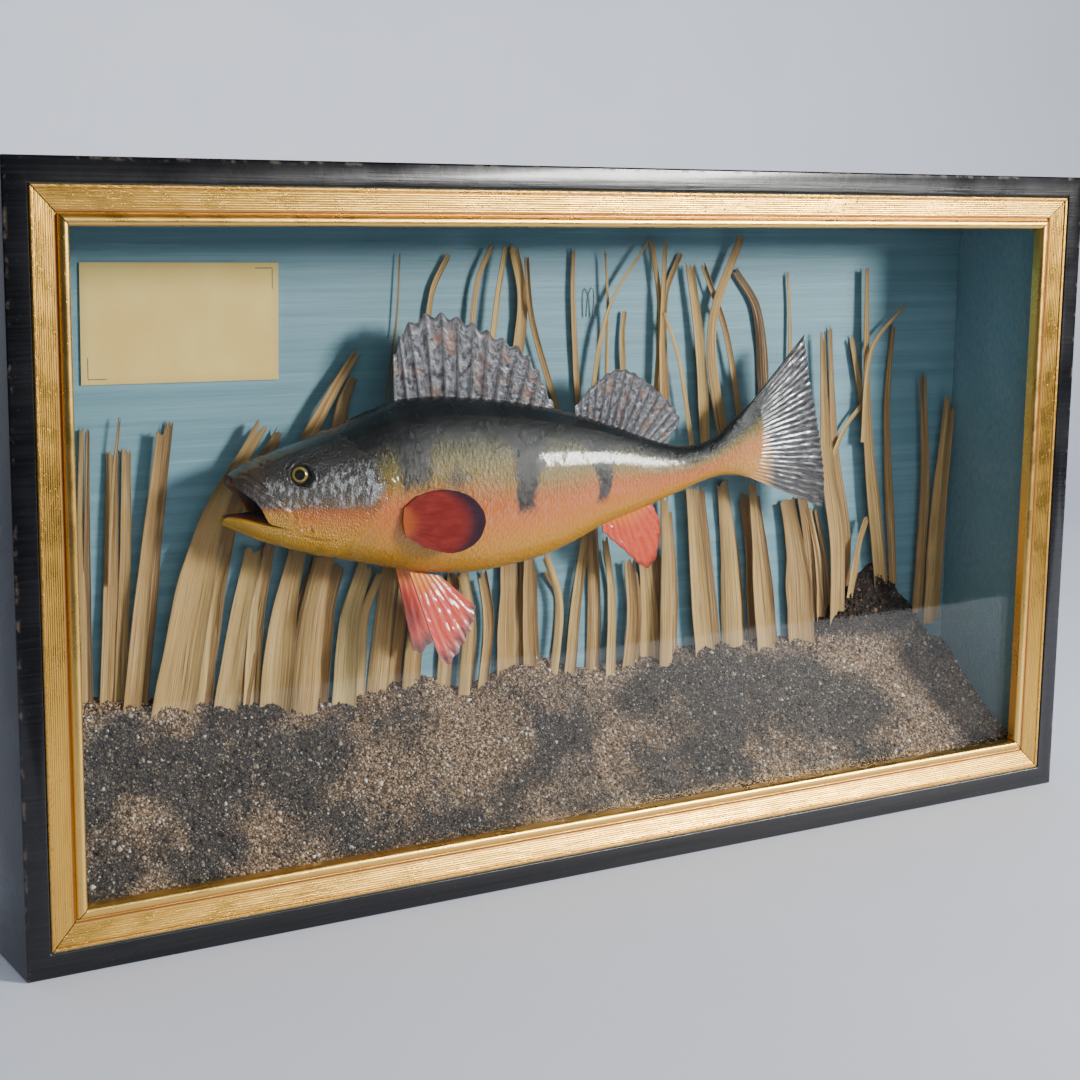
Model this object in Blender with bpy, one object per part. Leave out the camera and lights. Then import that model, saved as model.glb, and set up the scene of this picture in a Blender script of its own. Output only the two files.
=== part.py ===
"""A European perch set up in a glazed, black-painted case with a gilt slip, reeds and a gravel bed.

Millimetres in the tables become metres through MM. X runs along the case, -Y faces the viewer, Z is up
and Z = 0 is the underside of the case. The fish faces -X and hangs from the backboard on two short rods.
"""
from math import copysign, cos, hypot, pi, radians, sin

import bmesh
import bpy
from mathutils import Matrix, Vector

MM = 0.001
GAP = 0.3 * MM                       # between neighbouring solids

# The case.
CASE_WIDTH = 560 * MM
CASE_HEIGHT = 321 * MM
CASE_DEPTH = 90 * MM
WALL = 10 * MM                       # thickness of the four boards
ARRIS = 0.8 * MM                     # rounding of the boards' edges
FRONT = -CASE_DEPTH / 2
BACKBOARD_FACE = FRONT + 78 * MM
BACKBOARD_THICKNESS = 9 * MM
INNER_X = CASE_WIDTH / 2 - WALL
INNER_LOW = WALL
INNER_HIGH = CASE_HEIGHT - WALL

# The gilt slip: (inwards from its outer edge, back from the front of the case).
SLIP_PROFILE = (
    (0.0, 7.0), (0.0, 0.5), (0.4, 0.1), (1.4, 0.1), (1.8, 0.6), (10.3, 2.3), (10.6, 3.1), (11.1, 3.1),
    (11.5, 1.9), (12.4, 1.1), (13.5, 0.9), (14.6, 1.3), (15.4, 2.0), (15.8, 2.8), (15.8, 7.0),
)
GLASS_FACE = FRONT + 7.3 * MM
GLASS_THICKNESS = 2 * MM

# The label: a plain card on the backboard.
LABEL_WIDTH, LABEL_HEIGHT, LABEL_THICKNESS = 90.4 * MM, 51.4 * MM, 0.6 * MM
LABEL_X, LABEL_Z = -180 * MM, 252.6 * MM
LABEL_TURN = radians(0.5)

# The gravel bed and the mound that holds the right-hand clump.
BED_FOOT = ((-270, 25), (60, 24), (270, 12))                                # height at the glass, along x
BED_CREST = (
    (-270, 95), (-230, 94), (-178, 87), (-107, 79), (-65, 84), (-41, 77), (0, 86), (24, 78), (60, 79),
    (101, 82), (170, 80), (215, 78), (250, 72), (270, 68),
)                                                                            # height at the backboard
BED_COLUMNS, BED_ROWS = 50, 10
MOUND_X, MOUND_RISE = 215, 37
MOUND_HALF_WIDTH, MOUND_DEPTH = 44, 19

# The fish hangs with its middle plane behind the middle of the case, and its hidden far half is flatter.
FISH_Y = 8 * MM
FAR_SHARE = 0.73

# The fish in side view, (x, z), and its half width along x.
BACK_LINE = (
    (-171.6, 187.8), (-162.6, 192.6), (-149.4, 197.1), (-125.2, 204.6), (-104, 212.8), (-89.8, 217.5),
    (-71.6, 218.7), (-55.5, 217.8), (-28.2, 214.7), (5.1, 207.6), (29.4, 200.2), (52.6, 192), (65.7, 189),
    (75.8, 188.6), (87, 191), (98.1, 198.5), (110.2, 207.6),
)
BELLY_LINE = (
    (-174.7, 168.1), (-167.6, 164.6), (-156.5, 159.3), (-132.2, 151.6), (-107, 145.4), (-84.8, 140.1),
    (-66.6, 137.6), (-50.4, 136.7), (-34.3, 137.7), (-13, 140.9), (5.1, 146.4), (19.3, 152),
    (48.6, 160.2), (65.7, 165.5), (81.9, 170.4), (93, 172.2), (104.1, 171.5), (110.2, 170),
)
HALF_WIDTH = (
    (-174.7, 4), (-168.6, 9.1), (-162.6, 12.7), (-153.5, 15.4), (-142.4, 17.4), (-124.2, 21),
    (-104, 23.4), (-75.7, 24), (-50.4, 23.4), (-23.1, 21.2), (5.1, 17.4), (33.4, 12.3), (60.7, 8.3),
    (86, 5.9), (110.2, 3.4),
)
BACK_SHAPE = ((-171.6, 0.62), (-136.3, 0.78), (-95.9, 1.02), (-35.3, 1.1), (110.2, 1))
BELLY_SHAPE = ((-171.6, 0.8), (-116.1, 0.84), (-55.5, 0.8), (25.3, 0.95), (110.2, 1))
RING_SIDES = 24
HEAD_END, TRUNK_END, TAIL_END = -104, 20.3, 110.2
LIP_STATIONS, HEAD_STATIONS, TRUNK_STATIONS, TAIL_STATIONS = 8, 11, 14, 12

# The gape: the upper lip's line, the lower jaw's rim, and where the jaw ends inside the head.
LIP_TIP, LIP_HALF_WIDTH = -170.1, 6.1
LIP_LINE = (
    (-172.7, 186.3), (-166.6, 181.3), (-161.5, 176.3), (-157.5, 169.2), (-153.5, 167.3), (-147.4, 165.5),
)
RIM_LINE = ((-174.7, 170.2), (-166.6, 169.8), (-157.5, 167.8), (-147.8, 165))
JAW_TIP, JAW_END = -174.3, -147.8
MOUTH_X, MOUTH_Z = -173.7 * MM, 177.2 * MM
MOUTH_DEPTH, MOUTH_HALF_WIDTH, MOUTH_HALF_HEIGHT = 22 * MM, 10.6 * MM, 9 * MM

# The eyes: glass domes in shallow sockets.
EYE_X, EYE_Y, EYE_Z = -142.3 * MM, 11.7 * MM, 188.5 * MM
EYE_RADIUS, EYE_HALF_THICKNESS = 5.0 * MM, 3.3 * MM

# Fins: thickness, and each fin's free edge, (x, z), from its first ray to its last.
FIN_THICKNESS = 0.9 * MM
EDGE_STEPS = 4                       # points between one ray and the next
FIRST_DORSAL_EDGE = (
    (-90.4, 237.3), (-83.8, 251.4), (-66.6, 256.3), (-39.3, 246.6), (-19.1, 235.3), (-6, 213),
)
SECOND_DORSAL_EDGE = ((6.1, 210.5), (17.3, 221.1), (32, 227.6), (50.6, 218.7), (67.2, 202.3), (61.7, 193))
TAIL_FIN_EDGE = (
    (143.3, 240.7), (145.5, 230.2), (148.4, 216.1), (153.5, 197.9), (157.9, 178.7), (159.9, 164.6),
    (159.3, 151.4),
)
ANAL_EDGE = ((23.3, 149), (35.4, 139.3), (49.6, 129), (55.6, 135.3), (57.1, 150.4), (53.1, 158.9))
PELVIC_EDGE = ((-73.7, 98.4), (-69.9, 96.3), (-63.6, 101.9), (-55.5, 113), (-53.3, 121.7))
PECTORAL_EDGE = (
    (-90.8, 177.7), (-79.7, 179.9), (-65.6, 176.1), (-58.1, 166), (-62, 155.5), (-73.7, 151),
    (-87.8, 154.3),
)

# Reeds stand in three rows in front of the backboard.
REED_ROWS = (30.9 * MM, 28.9 * MM, 26.9 * MM)
REED_THICKNESS = 0.8 * MM
REED_STEPS = 8
# name: (row, width, x at even heights from the bed to the tip, tip height, tip width as a share of width)
REEDS = {
    "reed_far_left": (0, 8, (-219, -215, -213), 203, 0.95),
    "reed_left": (1, 8, (-209, -200, -192), 208, 0.95),
    "reed_broad_left": (2, 20, (-191, -172, -146), 209, 0.35),
    "reed_behind_jaw": (0, 8, (-177, -171, -165), 156, 0.95),
    "reed_leaning_jaw": (1, 11, (-166, -157, -149), 154, 0.8),
    "reed_under_head": (1, 15, (-141, -135, -128), 156, 0.8),
    "reed_behind_head": (2, 8, (-153, -144, -135, -120, -97), 240, 0.4),
    "reed_cheek": (0, 15, (-127, -121, -113), 150, 0.9),
    "reed_gill": (1, 11, (-106, -101, -92), 145, 0.5),
    "reed_shaded": (0, 10.5, (-88, -83, -79), 146, 0.9),
    "reed_behind_pelvic": (1, 7.5, (-72, -69, -65), 150, 0.8),
    "reed_dorsal_front": (0, 5.5, (-53, -57, -58, -49), 282, 0.4),
    "reed_belly": (2, 6.6, (-42, -40, -44), 150, 0.8),
    "reed_dorsal_middle": (1, 4.5, (-32, -33, -35, -27), 286, 0.5),
    "reed_dorsal_rear": (2, 4.5, (-26, -27, -27, -21), 286, 0.5),
    "reed_belly_rear": (0, 12.6, (-16, -16, -15), 160, 0.9),
    "reed_between_dorsals": (1, 5.5, (18, 23, 24, 19), 284, 0.4),
    "reed_anal": (0, 5.4, (33, 33, 31), 160, 0.9),
    "reed_crossing": (2, 5.4, (42, 37, 30, 37, 61), 289, 0.4),
    "reed_tail_front": (1, 8, (69, 68, 68, 63), 288, 0.4),
    "reed_tail_wide": (2, 10, (77, 76, 73), 165, 0.8),
    "reed_tail_stem": (1, 14, (102, 95, 88), 168, 0.7),
    "reed_curved": (2, 11, (124, 119, 112, 101, 117), 291, 0.5),
    "reed_tail_dark": (0, 10, (140, 134, 136, 137, 116), 273, 0.6),
    "reed_under_tail": (1, 16.6, (166, 160, 152), 160, 0.9),
    "reed_right": (2, 10.5, (188, 186, 179, 174, 171), 241, 0.3),
    "reed_clump_tall": (1, 10.5, (219, 211, 205, 203, 201), 274, 0.6),
    "reed_clump_back": (0, 7.2, (223, 216, 209, 200, 193), 240, 0.4),
    "reed_clump_front": (2, 5.2, (230, 225, 221, 223), 244, 0.5),
    "reed_clump_thin": (1, 6, (246, 248, 247, 242), 215, 0.6),
    "reed_clump_right": (2, 9, (255, 256, 257, 261), 205, 0.7),
}

# Rods from the far flank to the backboard, (x, z).
ROD_RADIUS = 2 * MM
ROD_PLACES = {"mount_rod_front": (-95.9, 186.8), "mount_rod_rear": (9.2, 179.7)}

# Colours (linear RGB), roughness and metallic of each finish.
FINISHES = {
    "case_paint": ((0.012, 0.012, 0.014), 0.28, 0.0),
    "gilding": ((0.62, 0.36, 0.10), 0.34, 0.9),
    "glass": ((0.90, 0.95, 0.95), 0.03, 0.0),
    "board_paint": ((0.09, 0.22, 0.28), 0.62, 0.0),
    "card": ((0.66, 0.52, 0.25), 0.80, 0.0),
    "gravel": ((0.12, 0.10, 0.085), 0.92, 0.0),
    "reed": ((0.42, 0.28, 0.13), 0.75, 0.0),
    "fish_skin": ((0.45, 0.22, 0.05), 0.22, 0.0),
    "silver_fin": ((0.16, 0.16, 0.18), 0.25, 0.0),
    "red_fin": ((0.42, 0.07, 0.04), 0.28, 0.0),
    "eye_glass": ((0.35, 0.24, 0.02), 0.04, 0.0),
    "steel": ((0.45, 0.45, 0.45), 0.35, 1.0),
}


def finish(name):
    """The material called name, made the first time it is asked for."""
    if name in bpy.data.materials:
        return bpy.data.materials[name]
    colour, roughness, metallic = FINISHES[name]
    material = bpy.data.materials.new(name)
    material.use_nodes = True
    shader = material.node_tree.nodes["Principled BSDF"]
    shader.inputs["Base Color"].default_value = (*colour, 1)
    shader.inputs["Roughness"].default_value = roughness
    shader.inputs["Metallic"].default_value = metallic
    return material


def add(name, bm, finish_name, smooth=False):
    """Turn bm into the named object, with its faces outwards."""
    bmesh.ops.remove_doubles(bm, verts=bm.verts, dist=1e-6)
    bmesh.ops.recalc_face_normals(bm, faces=bm.faces)
    mesh = bpy.data.meshes.new(name)
    bm.to_mesh(mesh)
    bm.free()
    if smooth:
        mesh.shade_smooth()
        mesh.set_sharp_from_angle(angle=radians(35))
    mesh.materials.append(finish(finish_name))
    obj = bpy.data.objects.new(name, mesh)
    bpy.context.scene.collection.objects.link(obj)
    return obj


def curve(points, x):
    """Height at x of a smooth line through points, each (x, height)."""
    x = min(max(x, points[0][0]), points[-1][0])
    k = next(i for i in range(len(points) - 1) if x <= points[i + 1][0])

    def slope(i):
        (x0, y0), (x1, y1) = points[max(i - 1, 0)], points[min(i + 1, len(points) - 1)]
        return (y1 - y0) / (x1 - x0)

    (x0, y0), (x1, y1) = points[k], points[k + 1]
    span = x1 - x0
    t = (x - x0) / span
    return (
        y0 * (1 + 2 * t) * (1 - t) ** 2 + span * slope(k) * t * (1 - t) ** 2
        + y1 * t * t * (3 - 2 * t) + span * slope(k + 1) * t * t * (t - 1)
    )


def path(points, t):
    """The point at t, from 0 to 1, of a smooth line through points, spaced by their distances."""
    lengths = [0.0]
    for (x0, z0), (x1, z1) in zip(points, points[1:]):
        lengths.append(lengths[-1] + hypot(x1 - x0, z1 - z0))
    at = t * lengths[-1]
    return tuple(curve(tuple(zip(lengths, axis)), at) for axis in zip(*points))


def box(name, low, high, finish_name, arris=0.0):
    bm = bmesh.new()
    bmesh.ops.create_cube(bm, size=1)
    size = [b - a for a, b in zip(low, high)]
    bmesh.ops.scale(bm, vec=size, verts=bm.verts)
    bmesh.ops.translate(bm, vec=[(a + b) / 2 for a, b in zip(low, high)], verts=bm.verts)
    if arris:
        bmesh.ops.bevel(
            bm, geom=bm.edges[:], offset=arris, segments=2, profile=0.5, affect="EDGES", material=-1
        )
    return add(name, bm, finish_name)


def loft(bm, rings):
    """A closed solid through rings of equally many points, made by extruding its end face."""
    place = bm.verts.layers.int.new("place")
    verts = [bm.verts.new(point) for point in rings[0]]
    for index, vert in enumerate(verts):
        vert[place] = index
    first = end = bm.faces.new(verts)
    for ring in rings[1:]:
        made = bmesh.ops.extrude_face_region(bm, geom=[end])["geom"]
        if end is not first:
            bm.faces.remove(end)
        for vert in [item for item in made if isinstance(item, bmesh.types.BMVert)]:
            vert.co = ring[vert[place]]
        end = next(item for item in made if isinstance(item, bmesh.types.BMFace))


def cut(obj, cutter):
    """Take the cutter out of obj; the cutter stays as a hidden helper."""
    cutter.hide_render = True
    cutter.display_type = "WIRE"
    modifier = obj.modifiers.new(cutter.name, "BOOLEAN")
    modifier.operation = "DIFFERENCE"
    modifier.object = cutter


def build_case():
    x, y = CASE_WIDTH / 2, CASE_DEPTH / 2
    box("case_top", (-x, -y, INNER_HIGH), (x, y, CASE_HEIGHT), "case_paint", ARRIS)
    box("case_bottom", (-x, -y, 0), (x, y, INNER_LOW), "case_paint", ARRIS)
    low, high = INNER_LOW + GAP, INNER_HIGH - GAP
    box("case_left", (-x, -y, low), (-INNER_X, y, high), "case_paint", ARRIS)
    box("case_right", (INNER_X, -y, low), (x, y, high), "case_paint", ARRIS)
    inner = INNER_X - GAP
    box(
        "backboard", (-inner, BACKBOARD_FACE, low), (inner, BACKBOARD_FACE + BACKBOARD_THICKNESS, high),
        "board_paint",
    )
    box("glass", (-inner, GLASS_FACE, low), (inner, GLASS_FACE + GLASS_THICKNESS, high), "glass")


def build_slip():
    """Four mitred lengths of gilt slip inside the mouth of the case."""
    half_x = INNER_X - GAP
    half_z = (INNER_HIGH - INNER_LOW) / 2 - GAP
    middle = (INNER_HIGH + INNER_LOW) / 2
    for name, half, reach, turn in (
        ("slip_bottom", half_x, half_z, 0), ("slip_right", half_z, half_x, -90),
        ("slip_top", half_x, half_z, 180), ("slip_left", half_z, half_x, 90),
    ):
        ends = []
        for side in (-1, 1):
            ends.append([
                Vector((side * (half - GAP - u * MM), FRONT + v * MM, -reach + u * MM))
                for u, v in SLIP_PROFILE
            ])
        bm = bmesh.new()
        loft(bm, ends)
        bmesh.ops.rotate(bm, matrix=Matrix.Rotation(radians(turn), 3, "Y"), verts=bm.verts)
        bmesh.ops.translate(bm, vec=(0, 0, middle), verts=bm.verts)
        add(name, bm, "gilding")


def build_label():
    x, z = LABEL_WIDTH / 2, LABEL_HEIGHT / 2
    y = BACKBOARD_FACE - GAP
    label = box("label_card", (-x, -LABEL_THICKNESS, -z), (x, 0, z), "card")
    label.location = (LABEL_X, y, LABEL_Z)
    label.rotation_euler = (0, LABEL_TURN, 0)


def bed_height(x, y):
    """Height of the gravel at (x, y), in metres: low at the glass, high at the back, and the mound."""
    x, y = x / MM, y / MM
    back = (y - GLASS_FACE / MM) / ((BACKBOARD_FACE - GLASS_FACE) / MM)
    foot, crest = curve(BED_FOOT, x), curve(BED_CREST, x)
    slope = foot + (crest - foot) * back * (0.9 + 0.1 * back)
    ripple = 1.3 * sin(0.11 * x + 0.09 * y) * sin(pi * min(max(back, 0.0), 1.0))
    away = hypot((x - MOUND_X) / MOUND_HALF_WIDTH, (y - BACKBOARD_FACE / MM) / MOUND_DEPTH)
    mound = MOUND_RISE * max(0.0, 1 - away) ** 0.8
    return (slope + ripple + mound) * MM


def build_bed():
    low_y = GLASS_FACE + GLASS_THICKNESS + GAP
    high_y = BACKBOARD_FACE - GAP
    half_x = INNER_X - GAP
    bm = bmesh.new()
    bmesh.ops.create_grid(bm, x_segments=BED_COLUMNS, y_segments=BED_ROWS, size=1)
    for vert in bm.verts:
        x = vert.co.x * half_x
        y = low_y + (vert.co.y + 1) / 2 * (high_y - low_y)
        vert.co = (x, y, bed_height(x, y))
    rim = [edge for edge in bm.edges if edge.is_boundary]
    made = bmesh.ops.extrude_edge_only(bm, edges=rim)["geom"]
    for vert in [item for item in made if isinstance(item, bmesh.types.BMVert)]:
        vert.co.z = INNER_LOW + GAP
    bmesh.ops.contextual_create(bm, geom=[item for item in made if isinstance(item, bmesh.types.BMEdge)])
    add("groundwork", bm, "gravel")


def across(y):
    """Where a distance y from the fish's middle plane, negative on the near side, lies in the case."""
    return FISH_Y + (y * FAR_SHARE if y > 0 else y)


def body_ring(x, low, high, half):
    """A cross-section of the fish at x, all in millimetres, as points in metres."""
    middle = (low + high) / 2
    ring = []
    for k in range(RING_SIDES):
        angle = 2 * pi * k / RING_SIDES
        up, out = cos(angle), sin(angle)
        shape = curve(BACK_SHAPE if up > 0 else BELLY_SHAPE, x)
        y = half * copysign(abs(out) ** shape, out) if abs(out) > 1e-9 else 0.0
        ring.append(Vector((x * MM, across(y * MM), (middle + up * (high - low) / 2) * MM)))
    return ring


def stations(first, last, count):
    return [first + (last - first) * k / (count - 1) for k in range(count)]


def build_body():
    """Head, lower jaw, trunk and tail root."""
    step = LIP_LINE[-1][0]
    rings = [body_ring(LIP_TIP, curve(LIP_LINE, LIP_TIP), curve(BACK_LINE, LIP_TIP) - 1.5, LIP_HALF_WIDTH)]
    for x in stations(LIP_TIP + 1.5, step - 0.05, LIP_STATIONS):
        rings.append(body_ring(x, curve(LIP_LINE, x), curve(BACK_LINE, x), curve(HALF_WIDTH, x)))
    for x in stations(step, HEAD_END, HEAD_STATIONS):
        rings.append(body_ring(x, curve(BELLY_LINE, x), curve(BACK_LINE, x), curve(HALF_WIDTH, x)))
    bm = bmesh.new()
    loft(bm, rings)
    head = add("head", bm, "fish_skin", smooth=True)

    bm = bmesh.new()
    bmesh.ops.create_uvsphere(bm, u_segments=20, v_segments=12, radius=1)
    bmesh.ops.scale(bm, vec=(MOUTH_DEPTH, MOUTH_HALF_WIDTH, MOUTH_HALF_HEIGHT), verts=bm.verts)
    for vert in bm.verts:
        vert.co.y = across(vert.co.y)
    bmesh.ops.translate(bm, vec=(MOUTH_X, 0, MOUTH_Z), verts=bm.verts)
    cut(head, add("mouth_cutter", bm, "fish_skin"))
    for side, name in ((-1, "eye_near"), (1, "eye_far")):
        for extra, eye_name in ((GAP, name + "_cutter"), (0, name)):
            bm = bmesh.new()
            bmesh.ops.create_uvsphere(bm, u_segments=16, v_segments=10, radius=1)
            size = (EYE_RADIUS + extra, EYE_HALF_THICKNESS + extra, EYE_RADIUS + extra)
            bmesh.ops.scale(bm, vec=size, verts=bm.verts)
            bmesh.ops.translate(bm, vec=(EYE_X, across(side * EYE_Y), EYE_Z), verts=bm.verts)
            eye = add(eye_name, bm, "eye_glass", smooth=True)
            if extra:
                cut(head, eye)

    rings = []
    for x in stations(JAW_TIP, JAW_END, 9):
        half = 4.5 if x == JAW_TIP else curve(HALF_WIDTH, x) * 0.98
        rings.append(body_ring(x, curve(BELLY_LINE, x), curve(RIM_LINE, x), half))
    bm = bmesh.new()
    loft(bm, rings)
    add("lower_jaw", bm, "fish_skin", smooth=True)

    gap = GAP / MM
    for name, first, last, count in (
        ("trunk", HEAD_END + gap, TRUNK_END, TRUNK_STATIONS),
        ("tail", TRUNK_END + gap, TAIL_END, TAIL_STATIONS),
    ):
        bm = bmesh.new()
        loft(bm, [
            body_ring(x, curve(BELLY_LINE, x), curve(BACK_LINE, x), curve(HALF_WIDTH, x))
            for x in stations(first, last, count)
        ])
        add(name, bm, "fish_skin", smooth=True)


def fin_outline(base, edge, rays, scallop):
    """Outline of a fin: along its base, then back along its free edge, which dips between the rays."""
    outline = [path(base, k / rays) for k in range(rays + 1)]
    steps = EDGE_STEPS * (rays - 1)
    for k in range(steps, -1, -1):
        x, z = path(edge, k / steps)
        root_x, root_z = path(base, k / steps)
        length = max(hypot(x - root_x, z - root_z), 1e-6)
        dip = scallop * abs(sin(pi * k / EDGE_STEPS)) * min(1, length / 8)
        outline.append((x - dip * (x - root_x) / length, z - dip * (z - root_z) / length))
    return outline


def build_fin(name, base, edge, rays, scallop, finish_name, y=0.0, splay=0.0, hinge=None):
    """A fin as a plate in the XZ plane, splayed about the line from hinge along X or Z, then moved to y."""
    bm = bmesh.new()
    face = bm.faces.new([bm.verts.new((x * MM, -FIN_THICKNESS / 2, z * MM))
                         for x, z in fin_outline(base, edge, rays, scallop)])
    made = bmesh.ops.extrude_face_region(bm, geom=[face])["geom"]
    top = [item for item in made if isinstance(item, bmesh.types.BMVert)]
    bmesh.ops.translate(bm, vec=(0, FIN_THICKNESS, 0), verts=top)
    if splay:
        axis, x, z = hinge
        bmesh.ops.rotate(
            bm, cent=(x * MM, 0, z * MM), matrix=Matrix.Rotation(radians(splay), 3, axis), verts=bm.verts
        )
    bmesh.ops.translate(bm, vec=(0, across(y * MM), 0), verts=bm.verts)
    add(name, bm, finish_name)


def on_line(line, first, last, lift, count=7):
    """Points just off the fish's back or belly, for a fin's base."""
    return [(x, curve(line, x) + lift) for x in stations(first, last, count)]


def build_fins():
    build_fin(
        "dorsal_fin_first", on_line(BACK_LINE, -90.2, -5.5, 0.5), FIRST_DORSAL_EDGE, 14, 2.4,
        "silver_fin",
    )
    build_fin(
        "dorsal_fin_second", on_line(BACK_LINE, 6.1, 59.7, 0.6), SECOND_DORSAL_EDGE, 15, 0.7,
        "silver_fin",
    )
    build_fin(
        "tail_fin", [(TAIL_END + 0.4, z) for z in (207.2, 197.9, 188.8, 178.7, 170.4)], TAIL_FIN_EDGE,
        17, 0.6, "silver_fin",
    )
    build_fin("anal_fin", on_line(BELLY_LINE, 22.8, 50.6, -0.6), ANAL_EDGE, 10, 0.6, "red_fin")
    for side, where in ((-1, "near"), (1, "far")):
        build_fin(
            "pelvic_fin_" + where, [(-86.2, 139.3), (-78.7, 137.9), (-71.2, 136.5)], PELVIC_EDGE, 6, 1.0,
            "red_fin", y=side * 8, splay=side * 9, hinge=("X", -78.7, 138.8),
        )
        build_fin(
            "pectoral_fin_" + where, [(-97.7, 172.6), (-98.1, 166.6), (-97.1, 160.5)], PECTORAL_EDGE, 13,
            0.2, "red_fin", y=side * 24.8, splay=-5 if side < 0 else 2, hinge=("Z", -97.9, 166.6),
        )


def build_rods():
    for name, (x, z) in ROD_PLACES.items():
        flank = across(curve(HALF_WIDTH, x - ROD_RADIUS / MM) * MM) + GAP
        length = BACKBOARD_FACE - GAP - flank
        bm = bmesh.new()
        bmesh.ops.create_cone(
            bm, cap_ends=True, segments=16, radius1=ROD_RADIUS, radius2=ROD_RADIUS, depth=length
        )
        bmesh.ops.rotate(bm, matrix=Matrix.Rotation(radians(90), 3, "X"), verts=bm.verts)
        bmesh.ops.translate(bm, vec=(x * MM, flank + length / 2, z * MM), verts=bm.verts)
        add(name, bm, "steel", smooth=True)


def build_reed(name, row, width, line, z_high, tip):
    """One dried leaf: a tapering strip, thin in Y, that stands in the bed and follows line up to z_high."""
    y = REED_ROWS[row]
    sides = [(line[0] + side * width / 2) * MM for side in (-1, 0, 1)]
    foot = max(bed_height(x, y + REED_THICKNESS) for x in sides) / MM + 0.8
    last = len(line) - 1
    spine = [(foot + (z_high - foot) * k / last, x) for k, x in enumerate(line)]
    bm = bmesh.new()
    bmesh.ops.create_grid(bm, x_segments=1, y_segments=REED_STEPS, size=1)
    for vert in bm.verts:
        up = (vert.co.y + 1) / 2
        z = foot + (z_high - foot) * up
        here = width * (1 - (1 - tip) * up)
        vert.co = ((curve(spine, z) + vert.co.x * here / 2) * MM, y - REED_THICKNESS / 2, z * MM)
    made = bmesh.ops.extrude_face_region(bm, geom=bm.faces[:])["geom"]
    far = [item for item in made if isinstance(item, bmesh.types.BMVert)]
    bmesh.ops.translate(bm, vec=(0, REED_THICKNESS, 0), verts=far)
    add(name, bm, "reed")


def main():
    for obj in list(bpy.data.objects):
        bpy.data.objects.remove(obj)
    build_case()
    build_slip()
    build_label()
    build_bed()
    build_body()
    build_fins()
    build_rods()
    for name, sizes in REEDS.items():
        build_reed(name, *sizes)


main()
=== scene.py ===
"""Looks of the cased perch: the varnished fish with its scales and fins, the reeds, the gravel bed,
the painted backboard, the gilt slip, the glass and the ebonised case.

Tables are in millimetres and become metres through MM. X runs along the case, -Y faces the viewer, Z is up.
"""
from functools import lru_cache
from math import copysign, cos, exp, hypot, pi, radians, sin

import bmesh
import bpy
import numpy as np
from mathutils import Matrix, Vector, noise


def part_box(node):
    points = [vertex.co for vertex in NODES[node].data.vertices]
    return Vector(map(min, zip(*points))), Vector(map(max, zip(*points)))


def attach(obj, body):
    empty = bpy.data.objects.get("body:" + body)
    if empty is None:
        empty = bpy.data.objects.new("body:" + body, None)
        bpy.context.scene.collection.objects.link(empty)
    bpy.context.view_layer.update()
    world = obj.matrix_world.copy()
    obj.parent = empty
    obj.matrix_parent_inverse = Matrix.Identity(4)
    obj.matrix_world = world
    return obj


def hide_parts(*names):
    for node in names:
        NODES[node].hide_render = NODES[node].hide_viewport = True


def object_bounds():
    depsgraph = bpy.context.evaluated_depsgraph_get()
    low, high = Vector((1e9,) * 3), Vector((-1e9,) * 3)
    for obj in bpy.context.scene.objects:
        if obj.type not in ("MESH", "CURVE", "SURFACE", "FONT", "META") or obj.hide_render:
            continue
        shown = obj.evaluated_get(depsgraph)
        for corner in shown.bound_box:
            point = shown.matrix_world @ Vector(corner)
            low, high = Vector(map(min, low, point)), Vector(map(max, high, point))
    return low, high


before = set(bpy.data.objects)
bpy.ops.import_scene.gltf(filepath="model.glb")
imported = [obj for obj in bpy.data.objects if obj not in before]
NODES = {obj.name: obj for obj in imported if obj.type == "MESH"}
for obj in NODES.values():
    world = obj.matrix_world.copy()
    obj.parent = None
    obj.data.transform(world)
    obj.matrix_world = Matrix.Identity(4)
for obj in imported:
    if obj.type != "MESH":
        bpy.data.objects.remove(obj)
cad_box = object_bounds()

MM = 0.001
CASE_LOW, CASE_HIGH = cad_box
WALL = 10 * MM
BOARD_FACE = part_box("backboard")[0].y
BOARD_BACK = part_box("backboard")[1].y / MM
GLASS_LOW, GLASS_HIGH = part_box("glass")
LABEL_LOW, LABEL_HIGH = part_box("label_card")

# ---------------------------------------------------------------- shader helpers


class Value:
    """A shader socket that takes Python's arithmetic."""

    def __init__(self, finish, socket):
        self.finish, self.socket = finish, socket

    def __add__(self, other):
        return self.finish.math("ADD", self, other)

    def __sub__(self, other):
        return self.finish.math("SUBTRACT", self, other)

    def __rsub__(self, other):
        return self.finish.math("SUBTRACT", other, self)

    def __mul__(self, other):
        return self.finish.math("MULTIPLY", self, other)

    def __truediv__(self, other):
        return self.finish.math("DIVIDE", self, other)

    def __abs__(self):
        return self.finish.math("ABSOLUTE", self)

    __radd__ = __add__
    __rmul__ = __mul__


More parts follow.
